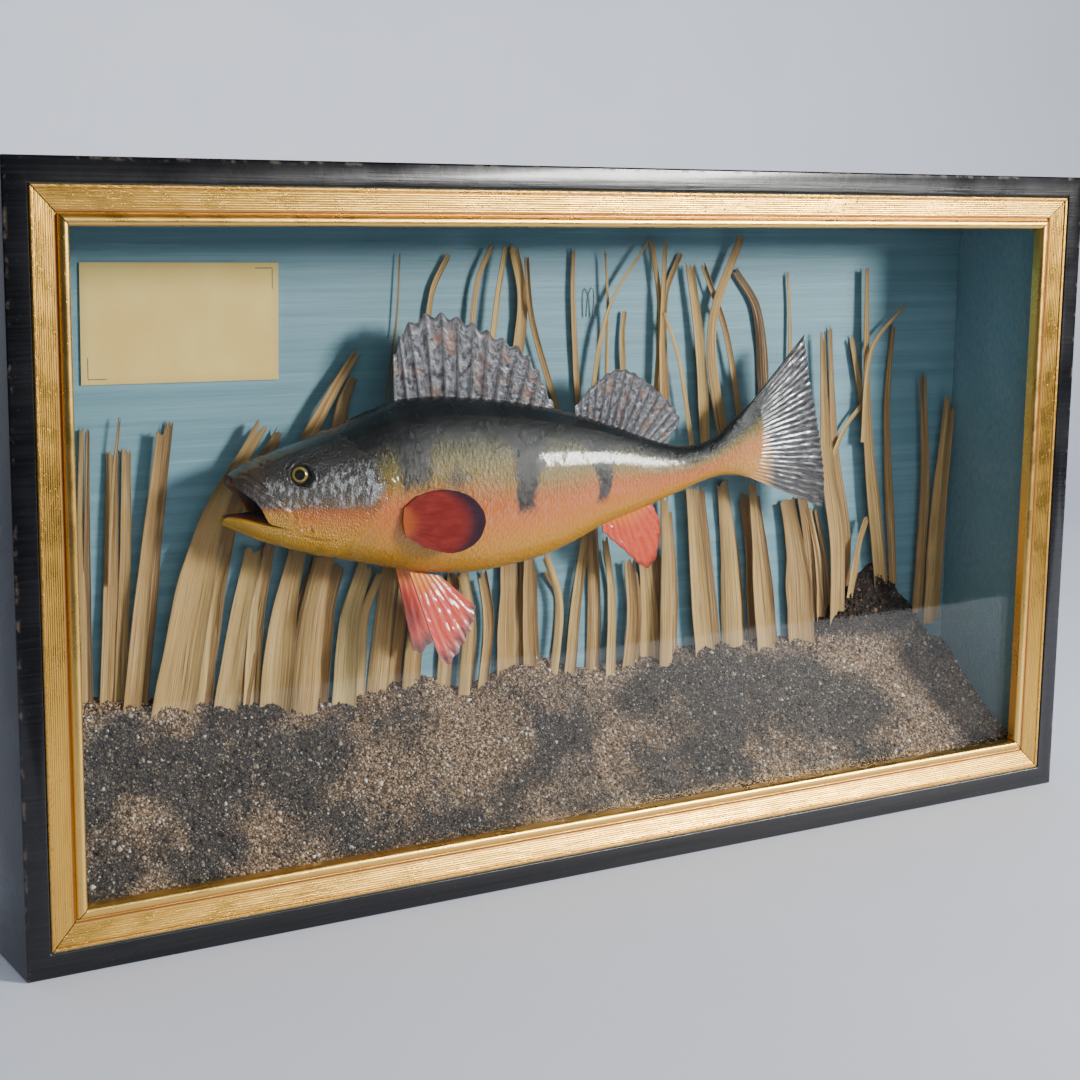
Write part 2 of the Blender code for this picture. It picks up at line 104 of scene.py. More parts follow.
class Finish:
    """A material and its node tree."""

    def __init__(self, name, **constants):
        self.material = bpy.data.materials.new(name)
        self.material.use_nodes = True
        self.tree = self.material.node_tree
        self.shader = self.tree.nodes["Principled BSDF"]
        self.set(**constants)

    def node(self, kind, settings=None, inputs=None, output=0):
        """Any node: its settings first, then the values or links of its sockets."""
        made = self.tree.nodes.new("ShaderNode" + kind)
        for key, value in (settings or {}).items():
            if key == "stops":
                while len(made.color_ramp.elements) < len(value):
                    made.color_ramp.elements.new(1.0)
                for element, (place, colour) in zip(made.color_ramp.elements, value):
                    element.position = place
                    element.color = (*colour, 1)
            else:
                setattr(made, key, value)
        for key, value in (inputs or {}).items():
            self.put(made.inputs[key], value)
        return Value(self, made.outputs[output])

    def put(self, socket, value):
        if isinstance(value, Value):
            self.tree.links.new(value.socket, socket)
        elif isinstance(value, tuple) and socket.type == "RGBA":
            socket.default_value = (*value, 1)
        else:
            socket.default_value = value

    def set(self, **sockets):
        """Sockets of the shader, by their names with underscores."""
        for name, value in sockets.items():
            self.put(self.shader.inputs[name.replace("_", " ")], value)
        return self

    def surface(self, shader):
        """Puts shader in the place of the usual one."""
        self.tree.nodes.remove(self.shader)
        self.tree.links.new(shader.socket, self.tree.nodes["Material Output"].inputs["Surface"])
        return self

    def math(self, operation, *values):
        return self.node("Math", {"operation": operation}, dict(enumerate(values)))

    def most(self, *values):
        total = values[0]
        for value in values[1:]:
            total = self.math("MAXIMUM", total, value)
        return total

    def mix(self, factor, under, over, how="MIX"):
        return self.node(
            "Mix", {"data_type": "RGBA", "blend_type": how}, {0: factor, 6: under, 7: over}, 2
        )

    def ramp(self, value, *stops):
        return self.node("ValToRGB", {"stops": stops}, {0: value})

    def step(self, value, low, high):
        """0 below low, 1 above high (or the other way round), smooth between."""
        return self.node(
            "MapRange", {"interpolation_type": "SMOOTHSTEP"}, {0: value, 1: low, 2: high, 3: 0.0, 4: 1.0}
        )

    def place(self):
        """Object coordinates in millimetres."""
        at = self.node("TexCoord", output=3)
        return self.node("VectorMath", {"operation": "SCALE"}, {0: at, 3: 1 / MM})

    def uv(self, name):
        return self.node("UVMap", {"uv_map": name})

    def split(self, vector):
        parts = self.node("SeparateXYZ", inputs={0: vector})
        return [Value(self, output) for output in parts.socket.node.outputs]

    def join(self, x=0.0, y=0.0, z=0.0):
        return self.node("CombineXYZ", inputs={0: x, 1: y, 2: z})

    def stretch(self, vector, x, y, z):
        return self.node("VectorMath", {"operation": "MULTIPLY"}, {0: vector, 1: (x, y, z)})

    def value_of(self, name):
        """A float attribute of the mesh."""
        return self.node("Attribute", {"attribute_name": name}, output=2)

    def noise(self, vector, scale, detail=3.0, rough=0.55, twist=0.0):
        return self.node(
            "TexNoise", inputs={"Vector": vector, "Scale": scale, "Detail": detail, "Roughness": rough,
                                "Distortion": twist},
        )

    def cells(self, vector, scale, feature="F1", output=0):
        return self.node("TexVoronoi", {"feature": feature}, {"Vector": vector, "Scale": scale}, output)

    def bump(self, height, depth, strength=1.0):
        """Bumps of a height given from 0 to 1, depth in millimetres."""
        return self.node("Bump", inputs={"Height": height, "Distance": depth * MM, "Strength": strength})


# ---------------------------------------------------------------- mesh helpers


def curve(points, x):
    """Height at x of a smooth line through points, each (x, height)."""
    x = min(max(x, points[0][0]), points[-1][0])
    k = next(i for i in range(len(points) - 1) if x <= points[i + 1][0])

    def slope(i):
        (x0, y0), (x1, y1) = points[max(i - 1, 0)], points[min(i + 1, len(points) - 1)]
        return (y1 - y0) / (x1 - x0)

    (x0, y0), (x1, y1) = points[k], points[k + 1]
    span = x1 - x0
    t = (x - x0) / span
    return (
        y0 * (1 + 2 * t) * (1 - t) ** 2 + span * slope(k) * t * (1 - t) ** 2
        + y1 * t * t * (3 - 2 * t) + span * slope(k + 1) * t * t * (t - 1)
    )


def path(points, t):
    """The point at t, from 0 to 1, of a smooth line through points, spaced by their distances."""
    lengths = [0.0]
    for (x0, z0), (x1, z1) in zip(points, points[1:]):
        lengths.append(lengths[-1] + hypot(x1 - x0, z1 - z0))
    at = t * lengths[-1]
    return tuple(curve(tuple(zip(lengths, axis)), at) for axis in zip(*points))


def ease(value, low, high):
    t = min(max((value - low) / (high - low), 0.0), 1.0)
    return t * t * (3 - 2 * t)


def wave(x, y, z=0.0):
    """Smooth noise, from about -1 to 1."""
    return noise.noise(Vector((x, y, z)))


def chance(*keys):
    """A steady number from 0 to 1 for whole-number keys."""
    return (sin(sum(key * weight for key, weight in zip(keys, (12.9898, 78.233, 37.719)))) * 43758.5453) % 1


def sheet(bm, across, along, place, mark=None, keep=None, uv=None):
    """A grid bent by place(u, v), with mark(u, v) as its UV and keep(u, v) as float values by layer."""
    place(0.0, 0.0)
    for name in keep(0.0, 0.0) if keep else ():
        if name not in bm.verts.layers.float:
            bm.verts.layers.float.new(name)
    if mark and uv not in bm.loops.layers.uv:
        bm.loops.layers.uv.new(uv)
    made = bmesh.ops.create_grid(bm, x_segments=across, y_segments=along, size=1)["verts"]
    spots = {vert: ((vert.co.x + 1) / 2, (vert.co.y + 1) / 2) for vert in made}
    if mark:
        layer = bm.loops.layers.uv[uv]
        for face in {face for vert in made for face in vert.link_faces}:
            for loop in face.loops:
                loop[layer].uv = mark(*spots[loop.vert])
    for vert, (u, v) in spots.items():
        vert.co = place(u, v)
        for name, value in (keep(u, v) if keep else {}).items():
            vert[bm.verts.layers.float[name]] = value
    return made


def close_ends(bm):
    """A face over each open end."""
    bmesh.ops.holes_fill(bm, edges=[edge for edge in bm.edges if edge.is_boundary], sides=0)


def skirt(bm, edges):
    """The new corners of edges extruded."""
    made = bmesh.ops.extrude_edge_only(bm, edges=edges)["geom"]
    return [item for item in made if isinstance(item, bmesh.types.BMVert)]


def mesh_of(name, bm):
    mesh = bpy.data.meshes.new(name)
    bm.to_mesh(mesh)
    bm.free()
    return mesh


def link(name, data):
    """A new object in the scene."""
    obj = bpy.data.objects.new(name, data)
    bpy.context.scene.collection.objects.link(obj)
    return obj


def add(name, bm, finish, nodes, sharp=35):
    """The finished object, in place of the nodes named."""
    bmesh.ops.recalc_face_normals(bm, faces=bm.faces)
    return place_mesh(name, mesh_of(name, bm), finish, nodes, True, sharp)


def place_mesh(name, mesh, finish, nodes, smooth=True, sharp=35):
    if smooth:
        mesh.shade_smooth()
        if sharp:
            mesh.set_sharp_from_angle(angle=radians(sharp))
    for each in finish if isinstance(finish, (list, tuple)) else [finish]:
        mesh.materials.append(each.material)
    obj = link(name, mesh)
    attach(obj, "root")
    if nodes:
        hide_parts(*nodes)
    return obj


BAKE_PATCH = 0.003               # side of one copy's patch on the bake UV


def joined(name, template, axes, centres, values=None, patches=None):
    """One mesh of many copies of template. axes is (n, 3, 3), whose rows are where X, Y and Z go."""
    template.verts.index_update()
    corners = np.array([vert.co for vert in template.verts])
    faces = [[vert.index for vert in face.verts] for face in template.faces]
    sizes = [len(face) for face in faces]
    flat = np.concatenate([np.array(face) for face in faces])
    template.free()
    count = len(centres)
    points = np.einsum("kj,njc->nkc", corners, axes) + centres[:, None, :]
    loops = (flat[None, :] + (np.arange(count) * len(corners))[:, None]).ravel()
    starts = np.cumsum([0] + sizes[:-1])
    starts = (starts[None, :] + (np.arange(count) * len(flat))[:, None]).ravel()
    mesh = bpy.data.meshes.new(name)
    mesh.vertices.add(points.shape[0] * points.shape[1])
    mesh.vertices.foreach_set("co", points.astype(np.float32).ravel())
    mesh.loops.add(len(loops))
    mesh.loops.foreach_set("vertex_index", loops.astype(np.int32))
    mesh.polygons.add(len(starts))
    mesh.polygons.foreach_set("loop_start", starts.astype(np.int32))
    mesh.update(calc_edges=True)
    for key, amounts in (values or {}).items():
        layer = mesh.attributes.new(key, "FLOAT", "POINT")
        spread = amounts if amounts.ndim == 2 else np.repeat(amounts[:, None], len(corners), 1)
        layer.data.foreach_set("value", spread.astype(np.float32).ravel())
    if patches is not None:
        layer = mesh.uv_layers.new(name="OFBake")
        flat_shape = corners[:, :2] / (np.abs(corners[:, :2]).max() * 2) * BAKE_PATCH
        spread = patches[:, None, :] + flat_shape[None, flat, :]
        layer.data.foreach_set("uv", spread.astype(np.float32).ravel())
    return mesh


# ---------------------------------------------------------------- finishes of the case


def ebony_paint():
    f = Finish("ebonised paint", Coat_Roughness=0.12, Specular_IOR_Level=0.3)
    place = f.place()
    x, y, z = f.split(place)
    strokes = f.noise(f.stretch(place, 0.012, 0.5, 0.5), 1.6, 4)
    cloud = f.noise(place, 0.022, 3)
    dust = f.noise(place, 0.9, 2)
    side, front, top = (
        f.step(out, limit / MM - 2.2, limit / MM - 0.4) for out, limit in zip((abs(x), abs(y), z), CASE_HIGH)
    )
    edge = f.most(side * front, side * top, front * top)
    rubbed = edge * f.step(f.noise(place, 0.16, 4), 0.52, 0.66)
    drips = f.step(f.cells(f.stretch(place, 0.018, 0.05, 0.05), 1.0), 0.10, 0.05)
    colour = f.mix(f.step(strokes, 0.35, 0.75), (0.003, 0.003, 0.004), (0.009, 0.009, 0.012))
    colour = f.mix(rubbed * 0.7, colour, (0.12, 0.09, 0.07))
    return f.set(
        Base_Color=f.mix(f.step(dust, 0.68, 0.8) * 0.25, colour, (0.10, 0.10, 0.11)),
        Roughness=0.2 + f.step(cloud, 0.3, 0.7) * 0.14 + rubbed * 0.3,
        Coat_Weight=0.30 - rubbed * 0.25,
        Normal=f.bump(strokes * 0.7 + f.noise(place, 0.25, 2) * 0.3 + drips * 0.5, 0.25, 0.5),
    )


def board_paint():
    """Thin blue-green paint brushed along the board."""
    f = Finish("blue board paint")
    place = f.place()
    grain = f.noise(f.stretch(place, 0.010, 1, 0.55), 1.3, 5, 0.62)
    brush = f.noise(f.stretch(place, 0.004, 1, 0.22), 1.1, 3, 0.6)
    cloud = f.noise(f.stretch(place, 1, 1, 1.6), 0.012, 3)
    colour = f.mix(f.step(brush, 0.3, 0.7), (0.120, 0.245, 0.305), (0.175, 0.325, 0.390))
    colour = f.mix(f.step(cloud, 0.35, 0.75) * 0.45, colour, (0.130, 0.290, 0.330))
    colour = f.mix(f.step(grain, 0.56, 0.72) * 0.5, colour, (0.26, 0.43, 0.49))
    colour = f.mix(f.step(grain, 0.40, 0.30) * 0.35, colour, (0.045, 0.13, 0.17))
    rings = f.noise(f.stretch(place, 0.006, 1, 0.35), 0.35, 4, 0.6, 0.6)
    pine = f.mix(f.step(rings, 0.35, 0.65), (0.16, 0.10, 0.055), (0.27, 0.18, 0.10))
    _, y, _ = f.split(place)
    colour = f.mix(f.step(y, BOARD_BACK - 0.6, BOARD_BACK - 0.2), colour, pine)
    return f.set(
        Base_Color=colour,
        Roughness=0.5 + f.step(grain, 0.4, 0.7) * 0.15,
        Normal=f.bump(grain * 0.8 + brush * 0.4, 0.35, 0.6),
    )


def gilding():
    """Gold leaf over red bole, on a UV in millimetres: across the moulding and along it."""
    f = Finish("gilding", Coat_Roughness=0.25)
    across, along, _ = f.split(f.uv("moulding"))
    place = f.join(across, along)
    streaks = f.noise(f.join(across * 2.2, along * 0.02), 1.0, 4, 0.6)
    fine = f.noise(f.join(across * 7.0, along * 0.05), 1.0, 2)
    cloud = f.noise(place, 0.06, 3)
    flecks = f.noise(f.join(across * 0.9, along * 0.35), 1.1, 4, 0.65)
    rim = f.step(across, 9.6, 8.6)                    # the thin outer edge
    groove = f.step(abs(across - 17.9), 1.2, 0.3)
    bead = f.step(across, 18.6, 19.4)
    gold = f.mix(f.step(streaks, 0.3, 0.7), (0.66, 0.36, 0.060), (0.80, 0.475, 0.105))
    # The bead is painted a brighter gold: painted highlight.
    gold = f.mix(bead * 0.6, gold, (0.95, 0.60, 0.17))
    worn = f.step(flecks + rim * 0.10 - bead * 0.05, 0.60, 0.70)
    # Wear flecks and the rubbed outer edge, and the groove before the bead darkened to a dark red-brown.
    wear_and_groove = f.most(worn * 0.6, rim * f.step(streaks, 0.46, 0.62) * 0.35, groove * 0.75)
    colour = f.mix(wear_and_groove, gold, (0.20, 0.060, 0.028))
    colour = f.mix(f.step(flecks, 0.735, 0.78) * 0.8, colour, (0.03, 0.017, 0.012))
    return f.set(
        Base_Color=colour,
        Metallic=1.0 - wear_and_groove * 0.75,
        Roughness=0.24 + f.step(cloud, 0.3, 0.7) * 0.10 + wear_and_groove * 0.25,
        Normal=f.bump(fine * 0.5 + streaks * 0.5 - worn * 0.5, 0.10, 0.7),
    )


def window_glass():
    """Clear glass with faint ripples and a little dust."""
    f = Finish("window glass")
    place = f.place()
    clear = f.node("BsdfTransparent", inputs={"Color": (0.985, 0.995, 0.99)})
    ripple = f.bump(f.noise(place, 0.012, 2), 1.2, 0.10)
    dust = f.step(f.noise(place, 0.05, 5, 0.6), 0.45, 0.85)
    gloss = f.node("BsdfGlossy", inputs={"Color": (1.0, 1.0, 1.0), "Roughness": 0.02 + dust * 0.05,
                                         "Normal": ripple})
    film = f.node("BsdfDiffuse", inputs={"Color": (0.75, 0.78, 0.8)})
    clean = f.node("MixShader", inputs={0: dust * 0.005 + 0.014, 1: clear, 2: gloss})
    return f.surface(f.node("MixShader", inputs={0: dust * 0.006 + 0.001, 1: clean, 2: film}))


def buff_card():
    """A plain aged card with a corner rule at the top right and one at the bottom left."""
    f = Finish("buff card", Roughness=0.62)
    place = f.place()
    x, _, z = f.split(place)
    middle = (LABEL_LOW + LABEL_HIGH) / 2 / MM
    half = (LABEL_HIGH - LABEL_LOW) / 2 / MM
    x, z = x - middle.x, z - middle.z

    def rule(side):
        out_x, out_z = half.x - 3.0 - x * side, half.z - 3.0 - z * side
        across = f.step(abs(out_z), 0.32, 0.18) * f.step(abs(out_x - 4.0), 4.2, 4.0)
        down = f.step(abs(out_x), 0.32, 0.18) * f.step(abs(out_z - 4.6), 4.8, 4.6)
        return f.most(across, down)

    stain = f.noise(place, 0.035, 4)
    fibre = f.noise(f.stretch(place, 0.6, 1, 1.4), 0.9, 4)
    rim = f.step(f.most(abs(x) - half.x, abs(z) - half.z), -5, 0.3)
    colour = f.mix(f.step(stain, 0.3, 0.75), (0.76, 0.51, 0.125), (0.84, 0.60, 0.18))
    colour = f.mix(f.step(fibre, 0.55, 0.8) * 0.25, colour, (0.52, 0.38, 0.16))
    colour = f.mix(rim * 0.35, colour, (0.46, 0.33, 0.14))
    colour = f.mix(f.most(rule(1), rule(-1)) * 0.8, colour, (0.06, 0.06, 0.065))
    return f.set(Base_Color=colour, Normal=f.bump(fibre, 0.08, 0.5))


def bright_wire():
    f = Finish("wire", Metallic=1.0)
    place = f.place()
    spots = f.noise(place, 0.6, 3)
    return f.set(
        Base_Color=f.mix(f.step(spots, 0.5, 0.7), (0.42, 0.41, 0.39), (0.16, 0.11, 0.07)),
        Roughness=0.3 + f.step(spots, 0.45, 0.7) * 0.3,
    )


# ---------------------------------------------------------------- finishes of the setting


def gravel_colour(f, place, tone):
    """Crushed shell and grit: tan patches, slate patches, and the mound painted darker as painted shade."""
    x, y, z = f.split(place)
    patch = f.noise(f.join(x, 0.0, z * 1.7), 0.016, 3, 0.55, 0.4)
    tan = f.step(patch, 0.43, 0.58)
    aside = abs(x - 213)
    mound = f.step(aside, 58, 36) * f.step(z - aside * 0.16, 70, 80) * f.step(y, 5, 14)
    pale = f.ramp(
        tone, (0.0, (0.055, 0.032, 0.016)), (0.3, (0.21, 0.125, 0.065)), (0.6, (0.42, 0.27, 0.155)),
        (0.85, (0.58, 0.42, 0.29)), (0.97, (0.85, 0.80, 0.72)),
    )
    slate = f.ramp(
        tone, (0.0, (0.010, 0.007, 0.006)), (0.35, (0.040, 0.030, 0.025)), (0.7, (0.10, 0.072, 0.052)),
        (0.95, (0.34, 0.27, 0.20)), (1.0, (0.70, 0.66, 0.60)),
    )
    # A darker copy of the gravel tones for the mound: painted shade.
    mound_shade = f.ramp(
        tone, (0.0, (0.006, 0.004, 0.003)), (0.5, (0.035, 0.020, 0.012)), (0.9, (0.10, 0.055, 0.03)),
        (1.0, (0.30, 0.20, 0.13)),
    )
    return f.mix(mound, f.mix(tan, slate, pale), mound_shade)


def grit():
    """Loose grains, each with its own tone."""
    f = Finish("grit", Specular_IOR_Level=0.35)
    place = f.place()
    colour = gravel_colour(f, place, f.value_of("tone"))
    return f.set(Base_Color=colour, Roughness=0.55 + f.noise(place, 2.0, 2) * 0.3,
                 Normal=f.bump(f.noise(place, 2.4, 2), 0.2, 0.6))


def packed_gravel():
    """The bed under the loose grains."""
    f = Finish("packed gravel", Roughness=0.9)
    place = f.place()
    stones = f.cells(place, 0.9)
    tone = f.node("SeparateColor", inputs={0: f.cells(place, 0.9, output=1)})
    colour = gravel_colour(f, place, tone * 0.8)
    colour = f.mix(f.step(stones, 0.35, 0.75) * 0.8, colour, (0.012, 0.009, 0.007))
    return f.set(Base_Color=colour, Normal=f.bump(1 - stones, 0.6, 1.0))


def dried_reed():
    """Straw with fibres along it, on a UV in millimetres, and a tone for each leaf."""
    f = Finish("dried reed", Specular_IOR_Level=0.4)
    across, along, _ = f.split(f.uv("fibre"))
    tone = f.value_of("tone")
    fold = f.value_of("fold")
    height = f.value_of("height")
    ribs = f.noise(f.join(across * 1.5, along * 0.012), 1.0, 4, 0.7)
    fine = f.noise(f.join(across * 9.0, along * 0.03), 1.0, 2)
    blotch = f.noise(f.join(across * 0.16, along * 0.022), 1.0, 3)
    straw = f.ramp(
        tone, (0.0, (0.10, 0.050, 0.020)), (0.3, (0.36, 0.195, 0.070)), (0.55, (0.52, 0.315, 0.110)),
        (0.8, (0.64, 0.43, 0.160)), (1.0, (0.76, 0.58, 0.27)),
    )
    colour = f.mix(f.step(ribs, 0.50, 0.66) * 0.6, straw, (0.80, 0.60, 0.32))
    colour = f.mix(f.step(ribs, 0.47, 0.32) * 0.8, colour, (0.12, 0.060, 0.022))
    colour = f.mix(f.step(blotch, 0.55, 0.75) * 0.45, colour, (0.27, 0.155, 0.07))
    colour = f.mix(f.step(fine, 0.60, 0.75) * 0.35, colour, (0.20, 0.13, 0.07))
    # Darker towards each leaf's edges: painted shade of its curled edges.
    colour = f.mix(f.step(fold, 0.75, 1.0) * 0.45, colour, (0.13, 0.08, 0.045))
    colour = f.mix(f.step(height, 0.82, 1.0) * 0.35, colour, (0.16, 0.10, 0.055))
    return f.set(
        Base_Color=colour,
        Roughness=0.52 + ribs * 0.2,
        Normal=f.bump(ribs * 0.6 + fine * 0.4, 0.8, 1.0),
    )


# ---------------------------------------------------------------- finishes of the fish

# Dark bars: (x at mid flank, x at the back, half width low and high, lowest rise, strength)
BARS = (
    (-91, -89, 5.0, 9.0, 0.48, 0.95),
    (-33, -30, 4.6, 12.0, 0.31, 1.0),
    (14, 12, 3.6, 9.5, 0.28, 1.0),
    (69, 69, 5.0, 11.0, 0.58, 0.75),
)


def perch_paint(f):
    """The varnished fish's colours, by x along the body and by rise from belly to back."""
    place = f.place()
    x, y, z = f.split(place)
    rise = f.value_of("rise")
    ragged = f.noise(place, 0.11, 4, 0.6) - 0.5
    broad = f.noise(place, 0.035, 2) - 0.5
    mottled = f.noise(f.stretch(place, 1, 1, 0.6), 0.45, 3, 0.6)
    high = rise + ragged * 0.07 + broad * 0.07 + f.step(x, 20, 60) * f.step(rise, 0.5, 0.9) * 0.06
    flank = f.ramp(
        high, (0.0, (0.60, 0.290, 0.004)), (0.17, (0.70, 0.285, 0.003)), (0.30, (0.70, 0.185, 0.006)),
        (0.42, (0.62, 0.145, 0.016)), (0.50, (0.45, 0.150, 0.014)), (0.57, (0.24, 0.145, 0.010)),
        (0.70, (0.110, 0.085, 0.008)), (0.78, (0.026, 0.024, 0.009)), (0.84, (0.005, 0.006, 0.008)),
    )
    flank = f.mix(f.step(mottled, 0.62, 0.80) * f.step(high, 0.60, 0.50) * 0.30, flank, (0.62, 0.070, 0.015))
    rear_gold = f.step(x, 60, 108) * f.step(rise, 0.62, 0.45)
    flank = f.mix(rear_gold * 0.5, flank, (0.58, 0.26, 0.045))
    bars = None
    for middle, top, low_half, high_half, lowest, strength in BARS:
        up = f.step(rise, 0.4, 0.9)
        away = abs(x - middle - up * (top - middle) + ragged * 9) / (up * (high_half - low_half) + low_half)
        bar = f.step(away, 1.45, 0.75) * f.step(rise + ragged * 0.10, lowest, lowest + 0.10) * strength
        bars = bar if bars is None else f.most(bars, bar)
    # A dark patch on the flank along the pectoral fin's upper edge: painted shadow of the fin.
    pectoral_shadow = f.step(abs(x + 70) / 9.0 + abs(z - 184) / 8.0 + ragged * 0.8, 1.2, 0.3) * 0.65
    # The bars, and the painted shadow, in near-black.
    flank = f.mix(f.most(bars, pectoral_shadow) * 0.98, flank, (0.004, 0.004, 0.006))

    cheek = f.noise(f.join(x * 0.5, y, z * 0.22), 0.9, 4, 0.65)
    head = f.ramp(
        high, (0.0, (0.58, 0.30, 0.006)), (0.20, (0.62, 0.27, 0.006)), (0.30, (0.60, 0.185, 0.012)),
        (0.40, (0.46, 0.125, 0.020)), (0.46, (0.16, 0.085, 0.045)), (0.55, (0.100, 0.085, 0.075)),
        (0.70, (0.050, 0.042, 0.038)), (0.82, (0.016, 0.013, 0.013)), (0.95, (0.007, 0.007, 0.009)),
    )
    # Silver-grey mottles on the cheeks: painted highlight, the glint of varnish on wrinkled skin.
    head = f.mix(f.step(cheek, 0.48, 0.62) * f.step(rise, 0.42, 0.5) * f.step(rise, 0.80, 0.68) * 0.75,
                 head, (0.42, 0.42, 0.44))
    snout = f.step(x, -151, -161) * f.step(rise, 0.42, 0.52)
    head = f.mix(snout * 0.8, head, (0.055, 0.034, 0.024))
    jaw = f.step(x, -140, -152) * f.step(rise, 0.44, 0.36)
    head = f.mix(jaw * 0.75, head, (0.50, 0.265, 0.014))
    gill = f.step(x + ragged * 5, -104, -113)
    colour = f.mix(gill, flank, head)
    # A silver patch on the gill cover: painted highlight.
    painted_glint = f.step(abs(x + 112.5) / 9.5 + abs(z - 182.5 - (x + 112) * 0.25) / 7.0 + ragged * 0.5, 1.15, 0.55)
    colour = f.mix(painted_glint * 0.65 * f.step(cheek, 0.40, 0.55), colour, (0.46, 0.46, 0.50))
    throat = f.value_of("mouth")
    colour = f.mix(f.step(throat, 0.02, 0.25), colour, (0.15, 0.032, 0.014))
    # Deeper in the mouth the lining is painted near-black: painted shade in its hollow.
    colour = f.mix(f.step(throat, 0.3, 0.9), colour, (0.016, 0.005, 0.004))
    return place, x, rise, gill, throat, painted_glint, colour


def perch_skin():
    f = Finish("perch skin", Specular_IOR_Level=0.6, Coat_Roughness=0.10)
    place, x, rise, gill, throat, painted_glint, colour = perch_paint(f)
    wrinkle = f.noise(f.stretch(place, 1.3, 1, 0.8), 0.55, 4, 0.62, 0.5)
    crackle = f.cells(f.stretch(place, 1.2, 1, 0.9), 0.75, "DISTANCE_TO_EDGE")
    relief = wrinkle * 0.7 + f.step(crackle, 0.0, 0.25) * 0.3
    quiet = 1 - f.step(x, -150, -160) * 0.6
    return f.set(
        Base_Color=colour,
        Metallic=painted_glint * 0.35 + gill * f.step(rise, 0.44, 0.55) * f.step(rise, 0.82, 0.7) * 0.18,
        Roughness=0.18 + wrinkle * 0.12 + throat * 0.3,
        Coat_Weight=0.55 - throat * 0.5,
        Normal=f.bump(relief * quiet, 1.1, 0.9),
    )


def perch_scales():
    f = Finish("perch scales", Specular_IOR_Level=0.6, Coat_Roughness=0.10)
    place, _, rise, _, _, _, colour = perch_paint(f)
    tone = f.value_of("tone")
    rim = f.value_of("rim")
    colour = f.mix(f.step(rim, 0.66, 1.0) * 0.55, colour, (0.45, 0.36, 0.30), "MULTIPLY")
    colour = f.mix(tone * f.step(rise, 0.75, 0.55) * 0.04, colour, (0.70, 0.62, 0.50))
    fine = f.noise(place, 2.2, 3)
    return f.set(
        Base_Color=colour,
        Metallic=f.step(rise, 0.40, 0.55) * f.step(rise, 0.86, 0.72) * 0.06,
        Roughness=0.20 + tone * 0.08,
        Coat_Weight=0.60 - tone * 0.1,
        Normal=f.bump(fine * 0.35 + f.noise(f.stretch(place, 1.2, 1, 0.7), 0.6, 3) * 0.65, 0.7, 1.0),
    )


def pewter_fin():
    """Silver-grey painted fin: dark rays, crinkled membrane, rusty patches."""
    f = Finish("pewter fin", Specular_IOR_Level=0.5, Coat_Roughness=0.12)
    ray, out, _ = f.split(f.uv("rays"))
    ridge = f.value_of("ridge")
    crinkle = f.noise(f.join(ray * 3.0, out * 9.0), 1.0, 4, 0.65, 0.4)
    dashes = f.noise(f.join(ray * 1.2, out * 16.0), 1.0, 3, 0.6)
    rust = f.noise(f.join(ray * 0.5, out * 2.2), 1.0, 3)
    colour = f.mix(f.step(crinkle, 0.35, 0.68), (0.022, 0.020, 0.025), (0.20, 0.20, 0.23))
    colour = f.mix(f.step(rust, 0.50, 0.62) * 0.6, colour, (0.20, 0.095, 0.060))
    colour = f.mix(f.step(dashes, 0.55, 0.68) * 0.35, colour, (0.03, 0.028, 0.034))
    colour = f.mix(f.step(ridge, 0.25, 0.8) * 0.92, colour, (0.016, 0.014, 0.018))
    edge = f.step(out + (dashes - 0.5) * 0.1, 0.90, 1.0)
    colour = f.mix(edge * 0.8, colour, (0.012, 0.012, 0.016))
    return f.set(
        Base_Color=colour,
        Metallic=0.30 - ridge * 0.25,
        Roughness=0.24 + crinkle * 0.22,
        Coat_Weight=1.0 - edge * 0.3,
        Normal=f.bump(crinkle * 0.7 + dashes * 0.3, 0.35, 0.8),
    )


def tail_pewter():
    """As the pewter fin, with an orange root and a dark lower lobe."""
    f = Finish("tail pewter", Specular_IOR_Level=0.5, Coat_Roughness=0.12)
    ray, out, _ = f.split(f.uv("rays"))
    ridge = f.value_of("ridge")
    lobe = ray / TAIL_RAYS
    crinkle = f.noise(f.join(ray * 2.2, out * 10.0), 1.0, 4, 0.65, 0.4)
    dashes = f.noise(f.join(ray * 0.8, out * 22.0), 1.0, 3, 0.6)
    colour = f.mix(f.step(crinkle, 0.42, 0.72), (0.016, 0.014, 0.017), (0.15, 0.15, 0.17))
    colour = f.mix(f.step(ridge, 0.4, 0.95) * 0.7, colour, (0.030, 0.026, 0.028))
    dark = f.step(lobe + (dashes - 0.5) * 0.1, 0.62, 0.92) * f.step(out, 0.12, 0.4)
    colour = f.mix(dark * 0.75, colour, (0.035, 0.028, 0.028))
    rims = f.most(f.step(out, 0.88, 1.0), f.step(abs(lobe - 0.5), 0.455, 0.5) * f.step(out, 0.15, 0.5))
    colour = f.mix(rims * 0.75, colour, (0.014, 0.013, 0.017))
    root = f.step(out + (crinkle - 0.5) * 0.16 - f.step(lobe, 0.35, 0.6) * 0.10, 0.26, 0.04)
    warm = f.mix(f.step(lobe, 0.18, 0.42), (0.030, 0.028, 0.026), (0.55, 0.24, 0.035))
    colour = f.mix(root * 0.9, colour, warm)
    return f.set(
        Base_Color=colour,
        Metallic=0.28 - root * 0.28,
        Roughness=0.25 + crinkle * 0.22,
        Coat_Weight=1.0 - rims * 0.3,
        Normal=f.bump(crinkle * 0.7 + dashes * 0.3, 0.30, 0.8),
    )


